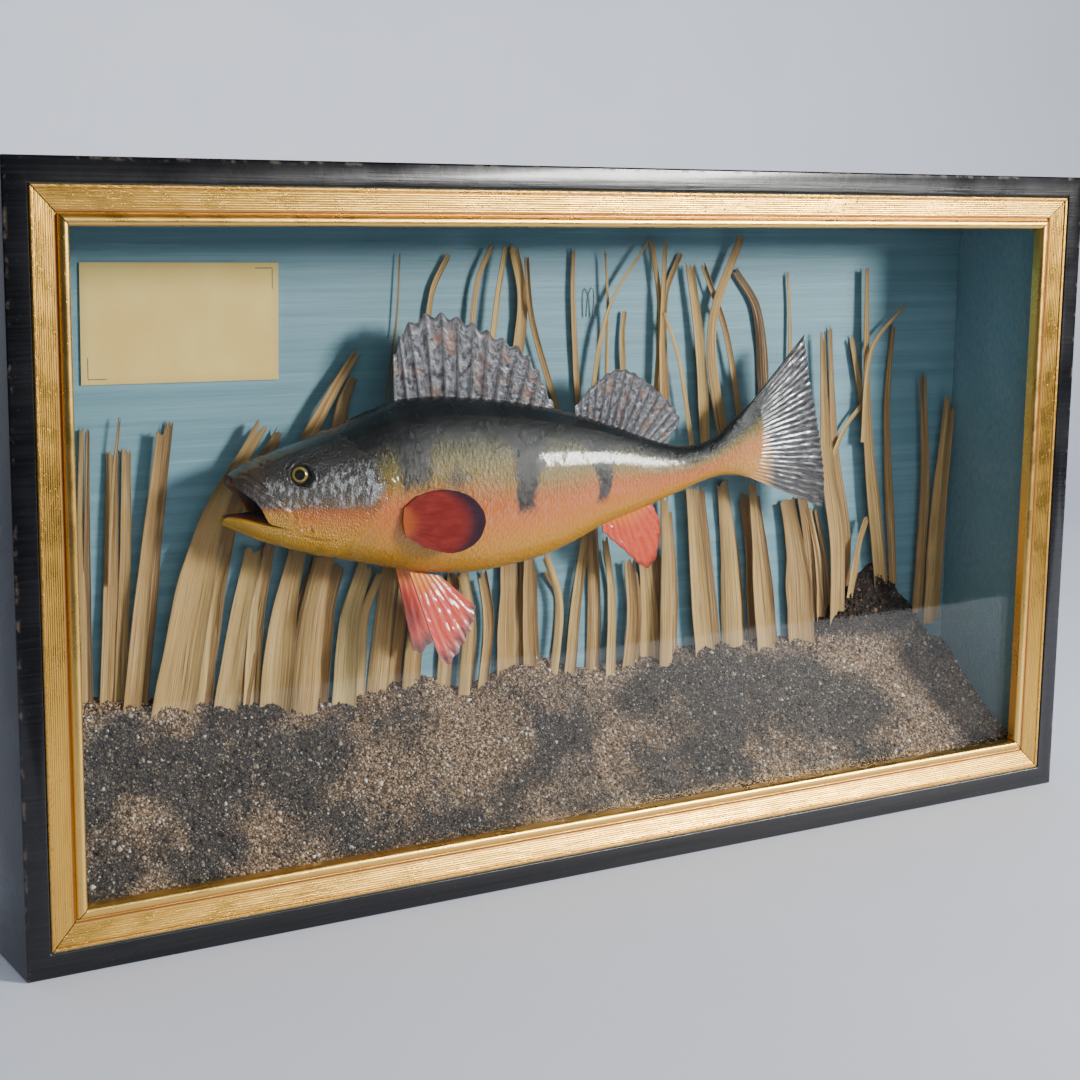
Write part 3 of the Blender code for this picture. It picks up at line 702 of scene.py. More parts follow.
def red_fin(name, root, body, tip, tip_from, speckle):
    """A red fin: its root, body and tip colours, where the tip starts, and how speckled it is."""
    f = Finish(name, Specular_IOR_Level=0.08, Coat_Roughness=0.12)
    ray, out, _ = f.split(f.uv("rays"))
    ridge = f.value_of("ridge")
    crinkle = f.noise(f.join(ray * 2.0, out * 9.0), 1.0, 4, 0.6, 0.3)
    spots = f.noise(f.join(ray * 1.6, out * 12.0), 1.0, 4, 0.7)
    colour = f.mix(f.step(out + (crinkle - 0.5) * 0.3, 0.0, 0.35), root, body)
    colour = f.mix(f.step(crinkle, 0.5, 0.75) * 0.4, colour, (0.70, 0.17, 0.10))
    colour = f.mix(f.step(spots, 0.60, 0.72) * speckle, colour, (0.10, 0.025, 0.022))
    colour = f.mix(ridge * 0.18, colour, (0.78, 0.30, 0.20))
    tipped = f.step(out + (spots - 0.5) * 0.25, tip_from, tip_from + 0.22)
    colour = f.mix(tipped * 0.9, colour, tip)
    return f.set(
        Base_Color=colour,
        Metallic=tipped * 0.35,
        Roughness=0.26 + crinkle * 0.2,
        Coat_Weight=1.0 - tipped * 0.2,
        Normal=f.bump(crinkle * 0.6 + spots * 0.4, 0.30, 0.8),
    )


def pectoral_paint():
    """Crimson, with a purple-black crescent along the free edge."""
    f = Finish("crimson fin", Specular_IOR_Level=0.15, Coat_Roughness=0.2)
    ray, out, _ = f.split(f.uv("rays"))
    crescent_place = f.value_of("crescent")
    soft = f.noise(f.join(ray * 0.5, out * 4.0), 1.0, 4, 0.6)
    colour = f.mix(f.step(soft, 0.35, 0.7), (0.17, 0.012, 0.009), (0.24, 0.022, 0.015))
    colour = f.mix(f.step(out, 0.26, 0.02) * 0.6, colour, (0.50, 0.120, 0.020))
    crescent = f.step(crescent_place + (soft - 0.5) * 0.10, 0.0, 0.22)
    colour = f.mix(crescent * 0.96, colour, (0.022, 0.008, 0.018))
    return f.set(
        Base_Color=colour,
        Roughness=0.34 + soft * 0.14,
        Coat_Weight=0.30 - crescent * 0.1,
        Normal=f.bump(soft, 0.4, 0.7),
    )


def glass_iris():
    """Gold iris round a black pupil, on a UV of the distance from the eye's middle and the turn."""
    f = Finish("glass iris", Coat_Roughness=0.02)
    far, turn, _ = f.split(f.uv("iris"))
    streak = f.noise(f.join(far * 0.5, turn * 5.0), 1.0, 4, 0.6)
    colour = f.mix(f.step(far, 2.25, 2.5), (0.002, 0.002, 0.002), (0.62, 0.48, 0.085))
    colour = f.mix(f.step(far, 2.6, 3.1) * f.step(streak, 0.4, 0.6) * 0.6, colour, (0.42, 0.30, 0.05))
    colour = f.mix(f.step(far, 3.15, 3.5), colour, (0.030, 0.018, 0.010))
    return f.set(
        Base_Color=colour,
        Metallic=f.step(far, 2.3, 2.5) * f.step(far, 3.5, 3.2) * 0.5,
        Roughness=0.20 + streak * 0.1,
        Coat_Weight=1.0 - f.step(far, 3.5, 4.2) * 0.5,
        Normal=f.bump(streak, 0.05, 0.5),
    )


def cornea():
    """The clear dome over the iris."""
    f = Finish("cornea")
    clear = f.node("BsdfTransparent", inputs={"Color": (1.0, 0.99, 0.96)})
    gloss = f.node("BsdfGlossy", inputs={"Color": (1.0, 1.0, 1.0), "Roughness": 0.03})
    glance = f.node("Fresnel", inputs={"IOR": 1.5})
    return f.surface(f.node("MixShader", inputs={0: glance * 0.8 + 0.01, 1: clear, 2: gloss}))


def studio_floor():
    f = Finish("pale floor", Roughness=0.6)
    place = f.place()
    soft = f.noise(place, 0.004, 3)
    return f.set(Base_Color=f.mix(f.step(soft, 0.3, 0.7), (0.82, 0.86, 0.97), (0.86, 0.90, 1.0)))


# ---------------------------------------------------------------- the case


def build_carcass():
    """The four boards as one painted box, blue inside."""
    bm = bmesh.new()
    bmesh.ops.create_cube(bm, size=1)
    bmesh.ops.scale(bm, vec=CASE_HIGH - CASE_LOW, verts=bm.verts)
    bmesh.ops.translate(bm, vec=(CASE_HIGH + CASE_LOW) / 2, verts=bm.verts)
    ends = [face for face in bm.faces if abs(face.normal.y) > 0.5]
    bmesh.ops.delete(bm, geom=ends, context="FACES_ONLY")
    bmesh.ops.solidify(bm, geom=bm.faces[:], thickness=WALL)
    corners = [edge for edge in bm.edges if edge.calc_face_angle(0) > 1]
    inner = [
        face for face in bm.faces
        if all(abs(vert.co.x) < CASE_HIGH.x - WALL / 2 for vert in face.verts)
        and all(WALL / 2 < vert.co.z < CASE_HIGH.z - WALL / 2 for vert in face.verts)
    ]
    for face in inner:
        face.material_index = 1
    bmesh.ops.bevel(bm, geom=corners, offset=0.8 * MM, segments=3, profile=0.5, affect="EDGES", material=-1)
    for face in bm.faces:
        if face.calc_center_median().y < CASE_LOW.y + 3 * MM:
            face.material_index = 0
    return add("carcass", bm, [ebony_paint(), BOARD],
               ("case_top", "case_bottom", "case_left", "case_right"))


REEDINGS = 9                     # fine ridges along the flat of the slip
OUTER_SIDE = 6.0                 # how far the profile's outer side runs, gilded alike all over


def moulding_profile():
    """The slip's section: (inwards, backwards), from the back of its outer side round to the sight edge."""
    points = [(0, 7), (0, 0.9), (0.12, 0.4), (0.5, 0.12), (1.1, 0.1), (1.55, 0.25), (1.8, 0.75)]
    steps = REEDINGS * 6
    for k in range(1, steps):
        along = k / steps
        points.append((1.8 + 8.5 * along, 0.62 + 1.7 * along + 0.16 * sin(pi * REEDINGS * along) ** 2))
    points += [(10.3, 2.5), (10.5, 3.1), (11.0, 3.25)]
    for k in range(1, 17):
        turn = pi * k / 17
        points.append((13.45 - 2.38 * cos(turn), 3.1 - 2.15 * sin(turn) ** 0.9))
    return points + [(15.8, 3.3), (15.8, 7)]


def build_slip():
    """Four mitred gilt lengths."""
    profile = moulding_profile()
    distance = [0.0]
    for (u0, v0), (u1, v1) in zip(profile, profile[1:]):
        distance.append(distance[-1] + hypot(u1 - u0, v1 - v0))
    distance = [max(d, OUTER_SIDE) for d in distance]
    last = len(profile)
    finish = gilding()
    middle = Vector((0, 0, (CASE_HIGH.z + CASE_LOW.z) / 2))
    for name, turn in (("slip_bottom", 0), ("slip_right", -90), ("slip_top", 180), ("slip_left", 90)):
        low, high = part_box(name)
        level = turn in (0, 180)
        half = (high - low)[0 if level else 2] / 2 / MM
        reach = (middle.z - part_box("slip_bottom")[0].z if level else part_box("slip_right")[1].x) / MM
        spin = Matrix.Rotation(radians(turn), 3, "Y")
        bm = bmesh.new()

        def place(u, v):
            k = round(u * last) % last
            inwards, back = profile[k]
            side = 2 * v - 1
            x = side * (half - inwards)
            return spin @ Vector((x * MM, CASE_LOW.y + back * MM, (-reach + inwards) * MM)) + middle

        def mark(u, v):
            k = round(u * last)
            return distance[min(k, last - 1)], (2 * v - 1) * half + turn * 7

        sheet(bm, last, 1, place, mark, uv="moulding")
        bmesh.ops.remove_doubles(bm, verts=bm.verts, dist=1e-6)
        close_ends(bm)
        add(name + "_gilt", bm, finish, (name,), sharp=28)


# ---------------------------------------------------------------- the bed

BED_FOOT = ((-270, 25), (60, 24), (270, 12))
BED_CREST = (
    (-270, 95), (-230, 94), (-178, 87), (-107, 79), (-65, 84), (-41, 77), (0, 86), (24, 78), (60, 79),
    (101, 82), (170, 80), (215, 78), (250, 72), (270, 68),
)
MOUND_X, MOUND_RISE, MOUND_HALF_WIDTH, MOUND_DEPTH = 215, 37, 44, 19
BED_FRONT = GLASS_HIGH.y / MM + 0.3
BED_BACK = BOARD_FACE / MM - 0.3
BED_HALF = GLASS_HIGH.x / MM


def bed_height(x, y):
    """Height of the gravel, all in millimetres: low at the glass, high at the back, and the mound."""
    start = GLASS_LOW.y / MM
    back = (y - start) / (BOARD_FACE / MM - start)
    foot, crest = curve(BED_FOOT, x), curve(BED_CREST, x)
    slope = foot + (crest - foot) * back * (0.9 + 0.1 * back)
    ripple = 1.3 * sin(0.11 * x + 0.09 * y) * sin(pi * min(max(back, 0.0), 1.0))
    away = hypot((x - MOUND_X) / MOUND_HALF_WIDTH, (y - BOARD_FACE / MM) / MOUND_DEPTH)
    return slope + ripple + MOUND_RISE * max(0.0, 1 - away) ** 0.8


def rough_bed(x, y):
    """The bed with its small heaps, just under the loose grains."""
    away = hypot((x - MOUND_X) / 50, (y - BOARD_FACE / MM) / 24)
    coarse = 1 + 1.4 * max(0.0, 1 - away)
    heaps = 1.1 * wave(x * 0.055, y * 0.07) + 0.8 * wave(x * 0.17, y * 0.2, 3)
    heaps += 0.45 * wave(x * 0.5, y * 0.5, 7)
    return bed_height(x, y) - 0.9 + heaps * coarse


def build_bed():
    bm = bmesh.new()

    def place(u, v):
        x = (2 * u - 1) * BED_HALF
        y = BED_FRONT + v * (BED_BACK - BED_FRONT)
        return Vector((x, y, rough_bed(x, y))) * MM

    sheet(bm, 260, 46, place)
    rim = [edge for edge in bm.edges if edge.is_boundary]
    for vert in skirt(bm, rim):
        vert.co.z = CASE_LOW.z + WALL + 0.3 * MM
    close_ends(bm)
    add("gravel_bed", bm, packed_gravel(), ("groundwork",), sharp=60)


GRAIN_MARGIN = 1.2               # how far the grains' middles stay from the end walls


def scatter(name, finish, seed, count, x_range, smallest, largest):
    """Loose angular grains, lying on the bed."""
    rng = np.random.default_rng(seed)
    xs = rng.uniform(*x_range, count)
    ys = BED_FRONT + 0.6 + (BED_BACK - BED_FRONT - 1.2) * rng.uniform(0, 1, count)
    sizes = smallest + (largest - smallest) * rng.beta(1.3, 5.0, count)
    near_mound = np.clip(1 - np.hypot((xs - MOUND_X) / 48, (ys - BED_BACK) / 22), 0, 1)
    sizes = sizes * (1 + 0.9 * near_mound)
    heights = np.array([rough_bed(x, y) for x, y in zip(xs, ys)]) + sizes * rng.uniform(0.0, 0.5, count)
    bm = bmesh.new()
    bmesh.ops.create_uvsphere(bm, u_segments=4, v_segments=2, radius=1)
    turns = np.linalg.qr(rng.normal(size=(count, 3, 3)))[0]
    stretch = rng.uniform(0.55, 1.25, (count, 3, 1)) * (sizes * MM)[:, None, None]
    axes = turns * stretch
    axes[np.linalg.det(axes) < 0] *= -1
    centres = np.stack([xs, ys, heights], 1) * MM
    limit = (BED_HALF - GRAIN_MARGIN) * MM
    centres[:, 0] = np.clip(centres[:, 0], -limit, limit)
    mesh = joined(name, bm, axes, centres, {"tone": rng.uniform(0, 1, count) ** 1.15})
    place_mesh(name, mesh, finish, ("groundwork",), smooth=False)


def build_grains():
    finish = grit()
    thirds = np.linspace(-BED_HALF, BED_HALF, 4)
    for index, (name, low, high) in enumerate(zip(("left", "middle", "right"), thirds, thirds[1:])):
        scatter("grains_" + name, finish, 11 + index, 15000, (low, high), 0.30, 1.15)
    scatter("grains_coarse", finish, 20, 2600, (-BED_HALF, BED_HALF), 0.9, 2.1)


# ---------------------------------------------------------------- the fish

BACK_LINE = (
    (-171.6, 187.8), (-162.6, 192.6), (-149.4, 197.1), (-125.2, 204.6), (-104, 212.8), (-89.8, 217.5),
    (-71.6, 218.7), (-55.5, 217.8), (-28.2, 214.7), (5.1, 207.6), (29.4, 200.2), (52.6, 192), (65.7, 189),
    (75.8, 188.6), (87, 191), (98.1, 198.5), (110.2, 207.6), (119, 215),
)
BELLY_LINE = (
    (-174.7, 168.1), (-167.6, 164.6), (-156.5, 159.3), (-132.2, 151.6), (-107, 145.4), (-84.8, 140.1),
    (-66.6, 137.6), (-50.4, 136.7), (-34.3, 137.7), (-13, 140.9), (5.1, 146.4), (19.3, 152),
    (48.6, 160.2), (65.7, 165.5), (81.9, 170.4), (93, 172.2), (104.1, 171.5), (110.2, 170), (119, 167),
)
HALF_WIDTH = (
    (-174.7, 4), (-168.6, 9.1), (-162.6, 12.7), (-153.5, 15.4), (-142.4, 17.4), (-124.2, 21),
    (-104, 23.4), (-75.7, 24), (-50.4, 23.4), (-23.1, 21.2), (5.1, 17.4), (33.4, 12.3), (60.7, 8.3),
    (86, 5.9), (104, 3.9), (112, 2.2), (119, 0.9),
)
LIP_LINE = (
    (-172.7, 186.3), (-166.6, 181.3), (-161.5, 176.3), (-157.5, 169.2), (-153.5, 167.3), (-147.4, 165.5),
)
RIM_LINE = ((-174.7, 170.2), (-166.6, 169.8), (-157.5, 167.8), (-147.8, 165))
FIRST_DORSAL_EDGE = (
    (-90.4, 237.3), (-83.8, 251.4), (-66.6, 256.3), (-39.3, 246.6), (-19.1, 235.3), (-6, 213),
)
SECOND_DORSAL_EDGE = ((6.1, 210.5), (17.3, 221.1), (32, 227.6), (50.6, 218.7), (67.2, 202.3), (61.7, 193))
TAIL_FIN_EDGE = (
    (143.3, 240.7), (145.5, 230.2), (148.4, 216.1), (153.5, 197.9), (157.9, 178.7), (159.9, 164.6),
    (159.3, 151.4),
)
ANAL_EDGE = ((23.3, 149), (35.4, 139.3), (49.6, 129), (55.6, 135.3), (57.1, 150.4), (53.1, 158.9))
PELVIC_EDGE = ((-73.7, 98.4), (-69.9, 96.3), (-63.6, 101.9), (-55.5, 113), (-53.3, 121.7))
PECTORAL_EDGE = (
    (-90.8, 177.7), (-79.7, 179.9), (-65.6, 176.1), (-58.1, 166), (-62, 155.5), (-73.7, 151),
    (-87.8, 154.3),
)
BACK_SHAPE = ((-171.6, 0.62), (-136.3, 0.78), (-95.9, 1.02), (-35.3, 1.1), (119, 1))
BELLY_SHAPE = ((-171.6, 0.58), (-148, 0.66), (-116.1, 0.84), (-55.5, 0.8), (25.3, 0.95), (119, 1))
FISH_Y, FAR_SHARE = 8, 0.73
LIP_TIP, JAW_TIP = -170.1, -174.3
MOUTH_CORNER = (-147.6, 165.2)
THROAT = (-143, 175)
HEAD_BACK = -135                 # where the skin's rings stand upright
TAIL_END = 110.2
SKIN_REACH, SCALE_REACH = 8.6, 7.2      # how much further back skin and scales go at mid height
SCALES_FROM = -121.0
TAIL_RAYS = 26
COAT = 0.50                      # thickness of the scales
LOWER_COLUMNS, UPPER_COLUMNS = 24, 52
LINING_ROWS, FACE_ROWS, BODY_ROWS = 12, 66, 150
EYE = (-142.3, 188.5)
EYE_OUT, EYE_RADIUS, EYE_HALF = 11.7, 5.0, 3.3
EYE_YAW, EYE_TILT = 9, 11        # degrees that an eye looks forwards and up
IRIS_RADIUS, IRIS_DISH = 3.6, 0.25
CORNEA_RADIUS, CORNEA_FOOT, CORNEA_RISE = 3.75, 2.15, 1.35

# Lines on the head, (x, z)
MAXILLA = ((-165.8, 187.3), (-160, 182.2), (-154, 176.9), (-148.8, 172.2))
CHEEK_EDGE = ((-129.5, 197), (-131.2, 189), (-132.8, 181.6), (-137, 174.5), (-143.5, 169.4))
GILL_EDGE = (
    (-121, 204), (-114.5, 197.5), (-107.5, 191.5), (-101.5, 186), (-100, 182.5), (-102.3, 178), (-107, 172.5),
    (-113, 166), (-119.5, 158.6), (-127, 153.6),
)
THROAT_FOLD = ((-141.5, 162.0), (-135, 159.9), (-128.5, 159.4), (-121, 160.7), (-114.8, 163.2))
CREASES = (
    ((-101.5, 170.2), (-98.5, 173.2), (-95, 175.6)), ((-105, 164.6), (-101.5, 167.4), (-98.4, 169.2)),
    ((-146, 163.6), (-141.5, 165.2), (-138, 164.0)), ((-139.5, 166.6), (-137.6, 163.6)),
)
NOSTRILS = ((-157.8, 193.0, 0.8), (-154.3, 194.4, 0.6))


def across(out):
    """Where a distance out from the fish's middle plane, negative on the near side, lies in the case."""
    return FISH_Y + (out * FAR_SHARE if out > 0 else out)


@lru_cache(maxsize=None)
def section(x):
    """Belly height, back height, half width and the shapes of back and belly at x."""
    return tuple(curve(table, x) for table in (BELLY_LINE, BACK_LINE, HALF_WIDTH, BACK_SHAPE, BELLY_SHAPE))


def flank(x, turn, lift=0.0):
    """The fish's surface at x and a turn from the back, negative on the near side; lift is outwards."""
    low, high, half, back, belly = section(round(x, 3))
    up, out = cos(turn), sin(turn)
    shape = back if up > 0 else belly
    return Vector((
        x, across(copysign(abs(out) ** shape * (half + lift), out)),
        (low + high) / 2 + up * ((high - low) / 2 + lift),
    ))


def rise_at(x, z):
    low, high = section(round(x, 3))[:2]
    return (z - low) / (high - low)


def corner_turn():
    low, high = section(MOUTH_CORNER[0])[:2]
    up = (MOUTH_CORNER[1] - (low + high) / 2) / ((high - low) / 2)
    return pi / 2 + abs(np.arcsin(up))


CORNER_TURN = float(corner_turn())


def column_turn(column):
    """The turn of a column: the corner of the mouth falls on one."""
    side = 1 if column > LOWER_COLUMNS + UPPER_COLUMNS else -1
    step = abs(column - LOWER_COLUMNS - UPPER_COLUMNS)
    if step <= UPPER_COLUMNS:
        return side * CORNER_TURN * step / UPPER_COLUMNS
    return side * (CORNER_TURN + (pi - CORNER_TURN) * (step - UPPER_COLUMNS) / LOWER_COLUMNS)


@lru_cache(maxsize=None)
def lip_x(turn):
    """How far forward the skin reaches at a turn: the lip above, the rim of the jaw below."""
    upper = turn <= CORNER_TURN

    def inside(x):
        z = flank(x, turn).z
        return z >= curve(LIP_LINE, x) if upper else z <= curve(RIM_LINE, x)

    first, last = (LIP_TIP if upper else JAW_TIP), MOUTH_CORNER[0]
    if inside(first):
        return first
    for _ in range(24):
        middle = (first + last) / 2
        first, last = (first, middle) if inside(middle) else (middle, last)
    return last


def from_line(points, x, z):
    """Distance from a broken line, positive on its left as it runs."""
    best, side = 1e9, 1
    for (x0, z0), (x1, z1) in zip(points, points[1:]):
        run_x, run_z = x1 - x0, z1 - z0
        t = ((x - x0) * run_x + (z - z0) * run_z) / (run_x ** 2 + run_z ** 2)
        t = min(max(t, 0.0), 1.0)
        away = hypot(x - x0 - t * run_x, z - z0 - t * run_z)
        if away < best:
            best, side = away, 1 if run_x * (z - z0) - run_z * (x - x0) > 0 else -1
    return best * side


def swell(distance, half):
    return exp(-((distance / half) ** 2))


def relief(x, z):
    """How far the skin stands out from the plain body at (x, z), in millimetres."""
    if x > -90:
        return 0.0
    away = hypot(x - EYE[0], z - EYE[1])
    out = -4.2 * (1 - ease(away, 3.9, 5.15))
    out += 0.50 * swell(away - 5.75, 0.5) - 0.25 * swell(away - 6.6, 0.45) + 0.28 * swell(away - 7.5, 0.6)
    if x < -104 and rise_at(x, z) > 0.30:
        out += 0.22 * wave(x * 0.55, z * 0.34, 2) * ease(away, 7, 10)
    jaw_bone = from_line(MAXILLA, x, z)
    out += 0.75 * swell(jaw_bone - 0.3, 0.95) + 0.45 * swell(jaw_bone + 1.9, 0.8)
    out -= 0.4 * swell(jaw_bone - 1.9, 0.6)
    cheek = from_line(CHEEK_EDGE, x, z)
    out += 0.40 * swell(cheek + 1.3, 0.9) - 0.45 * swell(cheek, 0.5)
    folds = ease(x, -129, -125.5) * ease(-x, 112.5, 117.5) * ease(z, 170, 175) * ease(-z, -193, -187)
    out += 0.32 * folds * sin(2 * pi * (x + 0.9 * wave(z * 0.1, x * 0.05)) / 2.9)
    gill = -from_line(GILL_EDGE, x, z)
    if x > -132:
        out += 0.75 * ease(gill, -0.35, 0.35) * swell(max(gill, 0), 7.0) - 0.35 * swell(gill + 0.8, 0.55)
        out += 0.28 * swell(gill - 1.6, 0.7)
    fold = from_line(THROAT_FOLD, x, z)
    out += 0.42 * swell(fold - 0.9, 0.8) - 0.62 * swell(fold, 0.45)
    for crease in CREASES:
        line = from_line(crease, x, z)
        out += 0.22 * swell(line - 0.8, 0.7) - 0.5 * swell(line, 0.38)
    for pit_x, pit_z, size in NOSTRILS:
        pit = hypot(x - pit_x, z - pit_z)
        out += 0.18 * swell(pit - size - 0.35, 0.4) - 0.8 * swell(pit, size * 0.7)
    return out


def scaled(x, z):
    """1 where the body carries scales, 0 on the head."""
    if x > -98:
        return 1.0
    if x < -122:
        return 0.0
    return ease(from_line(GILL_EDGE, x, z), 0.0, 1.5)


def build_skin():
    """One closed skin: throat, lining, lips, head and body back to the tail's root."""
    columns = 2 * (LOWER_COLUMNS + UPPER_COLUMNS)
    rows = LINING_ROWS + FACE_ROWS + BODY_ROWS
    spots = {}

    def station(row, turn):
        """x on the outside of the fish."""
        start = lip_x(abs(turn))
        if row <= LINING_ROWS + FACE_ROWS:
            return start + (HEAD_BACK - start) * ((row - LINING_ROWS) / FACE_ROWS) ** 1.15
        far = TAIL_END + SKIN_REACH * abs(sin(turn)) ** 1.6
        return HEAD_BACK + (far - HEAD_BACK) * (row - LINING_ROWS - FACE_ROWS) / BODY_ROWS

    def place(u, v):
        column, row = round(u * columns), round(v * rows)
        turn = column_turn(column)
        if row >= LINING_ROWS:
            x = station(row, turn)
            point = flank(x, turn)
            inner = 0.0
        else:
            lip = flank(lip_x(abs(turn)), turn)
            deep = 1 - row / LINING_ROWS
            out_y, out_z = lip.y - FISH_Y, lip.z - THROAT[1]
            reach = hypot(out_y, out_z)
            shrink = (1 - 1.5 / reach) * max(1 - deep ** 2.2, 0.0) ** 0.5
            x = lip.x + 0.5 + (THROAT[0] - lip.x) * deep ** 1.1
            point = Vector((x, FISH_Y + out_y * shrink, THROAT[1] + out_z * shrink))
            inner = 0.15 + 0.85 * ease(deep, 0, 0.7)
        spots[(u, v)] = inner
        return point * MM

    def keep(u, v):
        column, row = round(u * columns), round(v * rows)
        turn = column_turn(column)
        x = station(max(row, LINING_ROWS), turn)
        return {"mouth": spots[(u, v)], "rise": rise_at(x, flank(x, turn).z)}

    bm = bmesh.new()
    sheet(bm, columns, rows, place, keep=keep)
    bmesh.ops.remove_doubles(bm, verts=bm.verts, dist=2e-6)
    close_ends(bm)
    bmesh.ops.recalc_face_normals(bm, faces=bm.faces)
    mouth = bm.verts.layers.float["mouth"]
    lips = [vert for vert in bm.verts if vert.co.x < -145 * MM and 0 < vert[mouth] < 0.6 or any(
        edge.other_vert(vert)[mouth] > 0 for edge in vert.link_edges) and vert[mouth] == 0]
    for _ in range(2):
        bmesh.ops.smooth_vert(bm, verts=lips, factor=0.5, use_axis_x=True, use_axis_y=True, use_axis_z=True)
    bm.normal_update()
    moves = []
    for vert in bm.verts:
        if vert[mouth] > 0:
            continue
        x, _, z = vert.co / MM
        moves.append((vert, vert.normal * (relief(x, z) - COAT * scaled(x, z)) * MM))
    for vert, move in moves:
        vert.co += move
    add("perch_skin", bm, perch_skin(), ("head", "lower_jaw", "trunk", "tail"), sharp=0)


def scale_shape():
    """One scale: X along the fish, Y across, Z out; its free edge is rounded and turned down."""
    bm = bmesh.new()
    rim = bm.verts.layers.float.new("rim")
    bmesh.ops.create_grid(bm, x_segments=3, y_segments=4, size=1)
    for vert in bm.verts:
        along, wide = (vert.co.x + 1) / 2, vert.co.y
        vert[rim] = along
        round_off = (1 - 0.30 * wide * wide)
        vert.co = (-0.15 + 1.1 * along * round_off, wide * 0.5 * (0.82 + 0.30 * sin(pi * along) ** 0.8),
                   0.10 + 0.85 * along - 0.38 * wide * wide)
    edge = [e for e in bm.edges if e.is_boundary and all(vert[rim] > 0.99 for vert in e.verts)]
    for vert in skirt(bm, edge):
        vert.co.z -= 0.75
        vert.co.x -= 0.03
    bmesh.ops.recalc_face_normals(bm, faces=bm.faces)
    if sum(face.normal.z for face in bm.faces) < 0:
        bmesh.ops.reverse_faces(bm, faces=bm.faces)
    return bm


SCALE_ROWS = 28                  # from back to belly, on one side


def build_scales():
    finish = perch_scales()
    for name, side in (("scales_near", -1), ("scales_far", 1)):
        axes, centres, rises, tones, patches = [], [], [], [], []
        x, column = SCALES_FROM, 0
        while x < TAIL_END + 8:
            low, high, half = section(round(x, 3))[:3]
            girth = pi * ((((high - low) / 2) ** 2 + half ** 2) / 2) ** 0.5
            pitch = 0.85 + 0.34 * girth / 36
            for row in range(SCALE_ROWS):
                turn = side * pi * (row + 0.5 + 0.5 * (column % 2 - 0.5)) / SCALE_ROWS
                near = x + 0.25 * pitch * (chance(column, row) - 0.5)
                if near > TAIL_END + SCALE_REACH * abs(sin(turn)) ** 1.6:
                    continue
                root = flank(near, turn)
                if near < -98 and from_line(GILL_EDGE, near, root.z) < 0.9:
                    continue
                along = (flank(near + 0.4, turn) - root).normalized()
                around = flank(near, turn + side * 0.02) - root
                spacing = around.length / 0.02 * pi / SCALE_ROWS
                around = (around - along * around.dot(along)).normalized()
                out = along.cross(around) * -side
                if out.dot(root - Vector((near, FISH_Y, (low + high) / 2))) < 0:
                    out = -out
                tilt = 0.8 + 0.45 * chance(row, column, 5)
                axes.append((along * pitch * 1.85, around * spacing * 1.34, out * COAT * tilt))
                centres.append(root - out * COAT)
                rises.append(rise_at(near, root.z))
                tones.append(chance(row, column, 9))
                patches.append(((near + 125) / 260 + 0.02, 0.02 + 0.94 * abs(turn) / pi))
            x += pitch
            column += 1
        template = scale_shape()
        layer = template.verts.layers.float["rim"]
        rim = np.array([vert[layer] for vert in template.verts])
        count = len(centres)
        mesh = joined(
            name, template, np.array(axes) * MM, np.array(centres) * MM,
            {"rise": np.array(rises), "tone": np.array(tones), "rim": np.tile(rim, (count, 1)),
             "mouth": np.zeros(count)},
            np.array(patches),
        )
        place_mesh(name, mesh, finish, ("trunk", "tail"), sharp=50)


def build_tongue():
    f = Finish("tongue", Roughness=0.35, Coat_Weight=0.6)
    place = f.place()
    f.set(
        Base_Color=f.mix(f.noise(place, 0.5, 3), (0.16, 0.05, 0.035), (0.30, 0.12, 0.085)),
        Normal=f.bump(f.noise(place, 1.4, 3), 0.3, 0.8),
    )
    bm = bmesh.new()
    bmesh.ops.create_uvsphere(bm, u_segments=32, v_segments=20, radius=1)
    for vert in bm.verts:
        x, y, z = vert.co
        vert.co = Vector((
            -155.5 + 10.5 * x, FISH_Y + y * (4.6 + 1.2 * x) * (1 if y < 0 else 0.8),
            168.2 + 1.7 * z - 0.45 * max(z, 0) * (1 - y * y) + x,
        )) * MM
    add("tongue", bm, f, ("lower_jaw",), sharp=0)


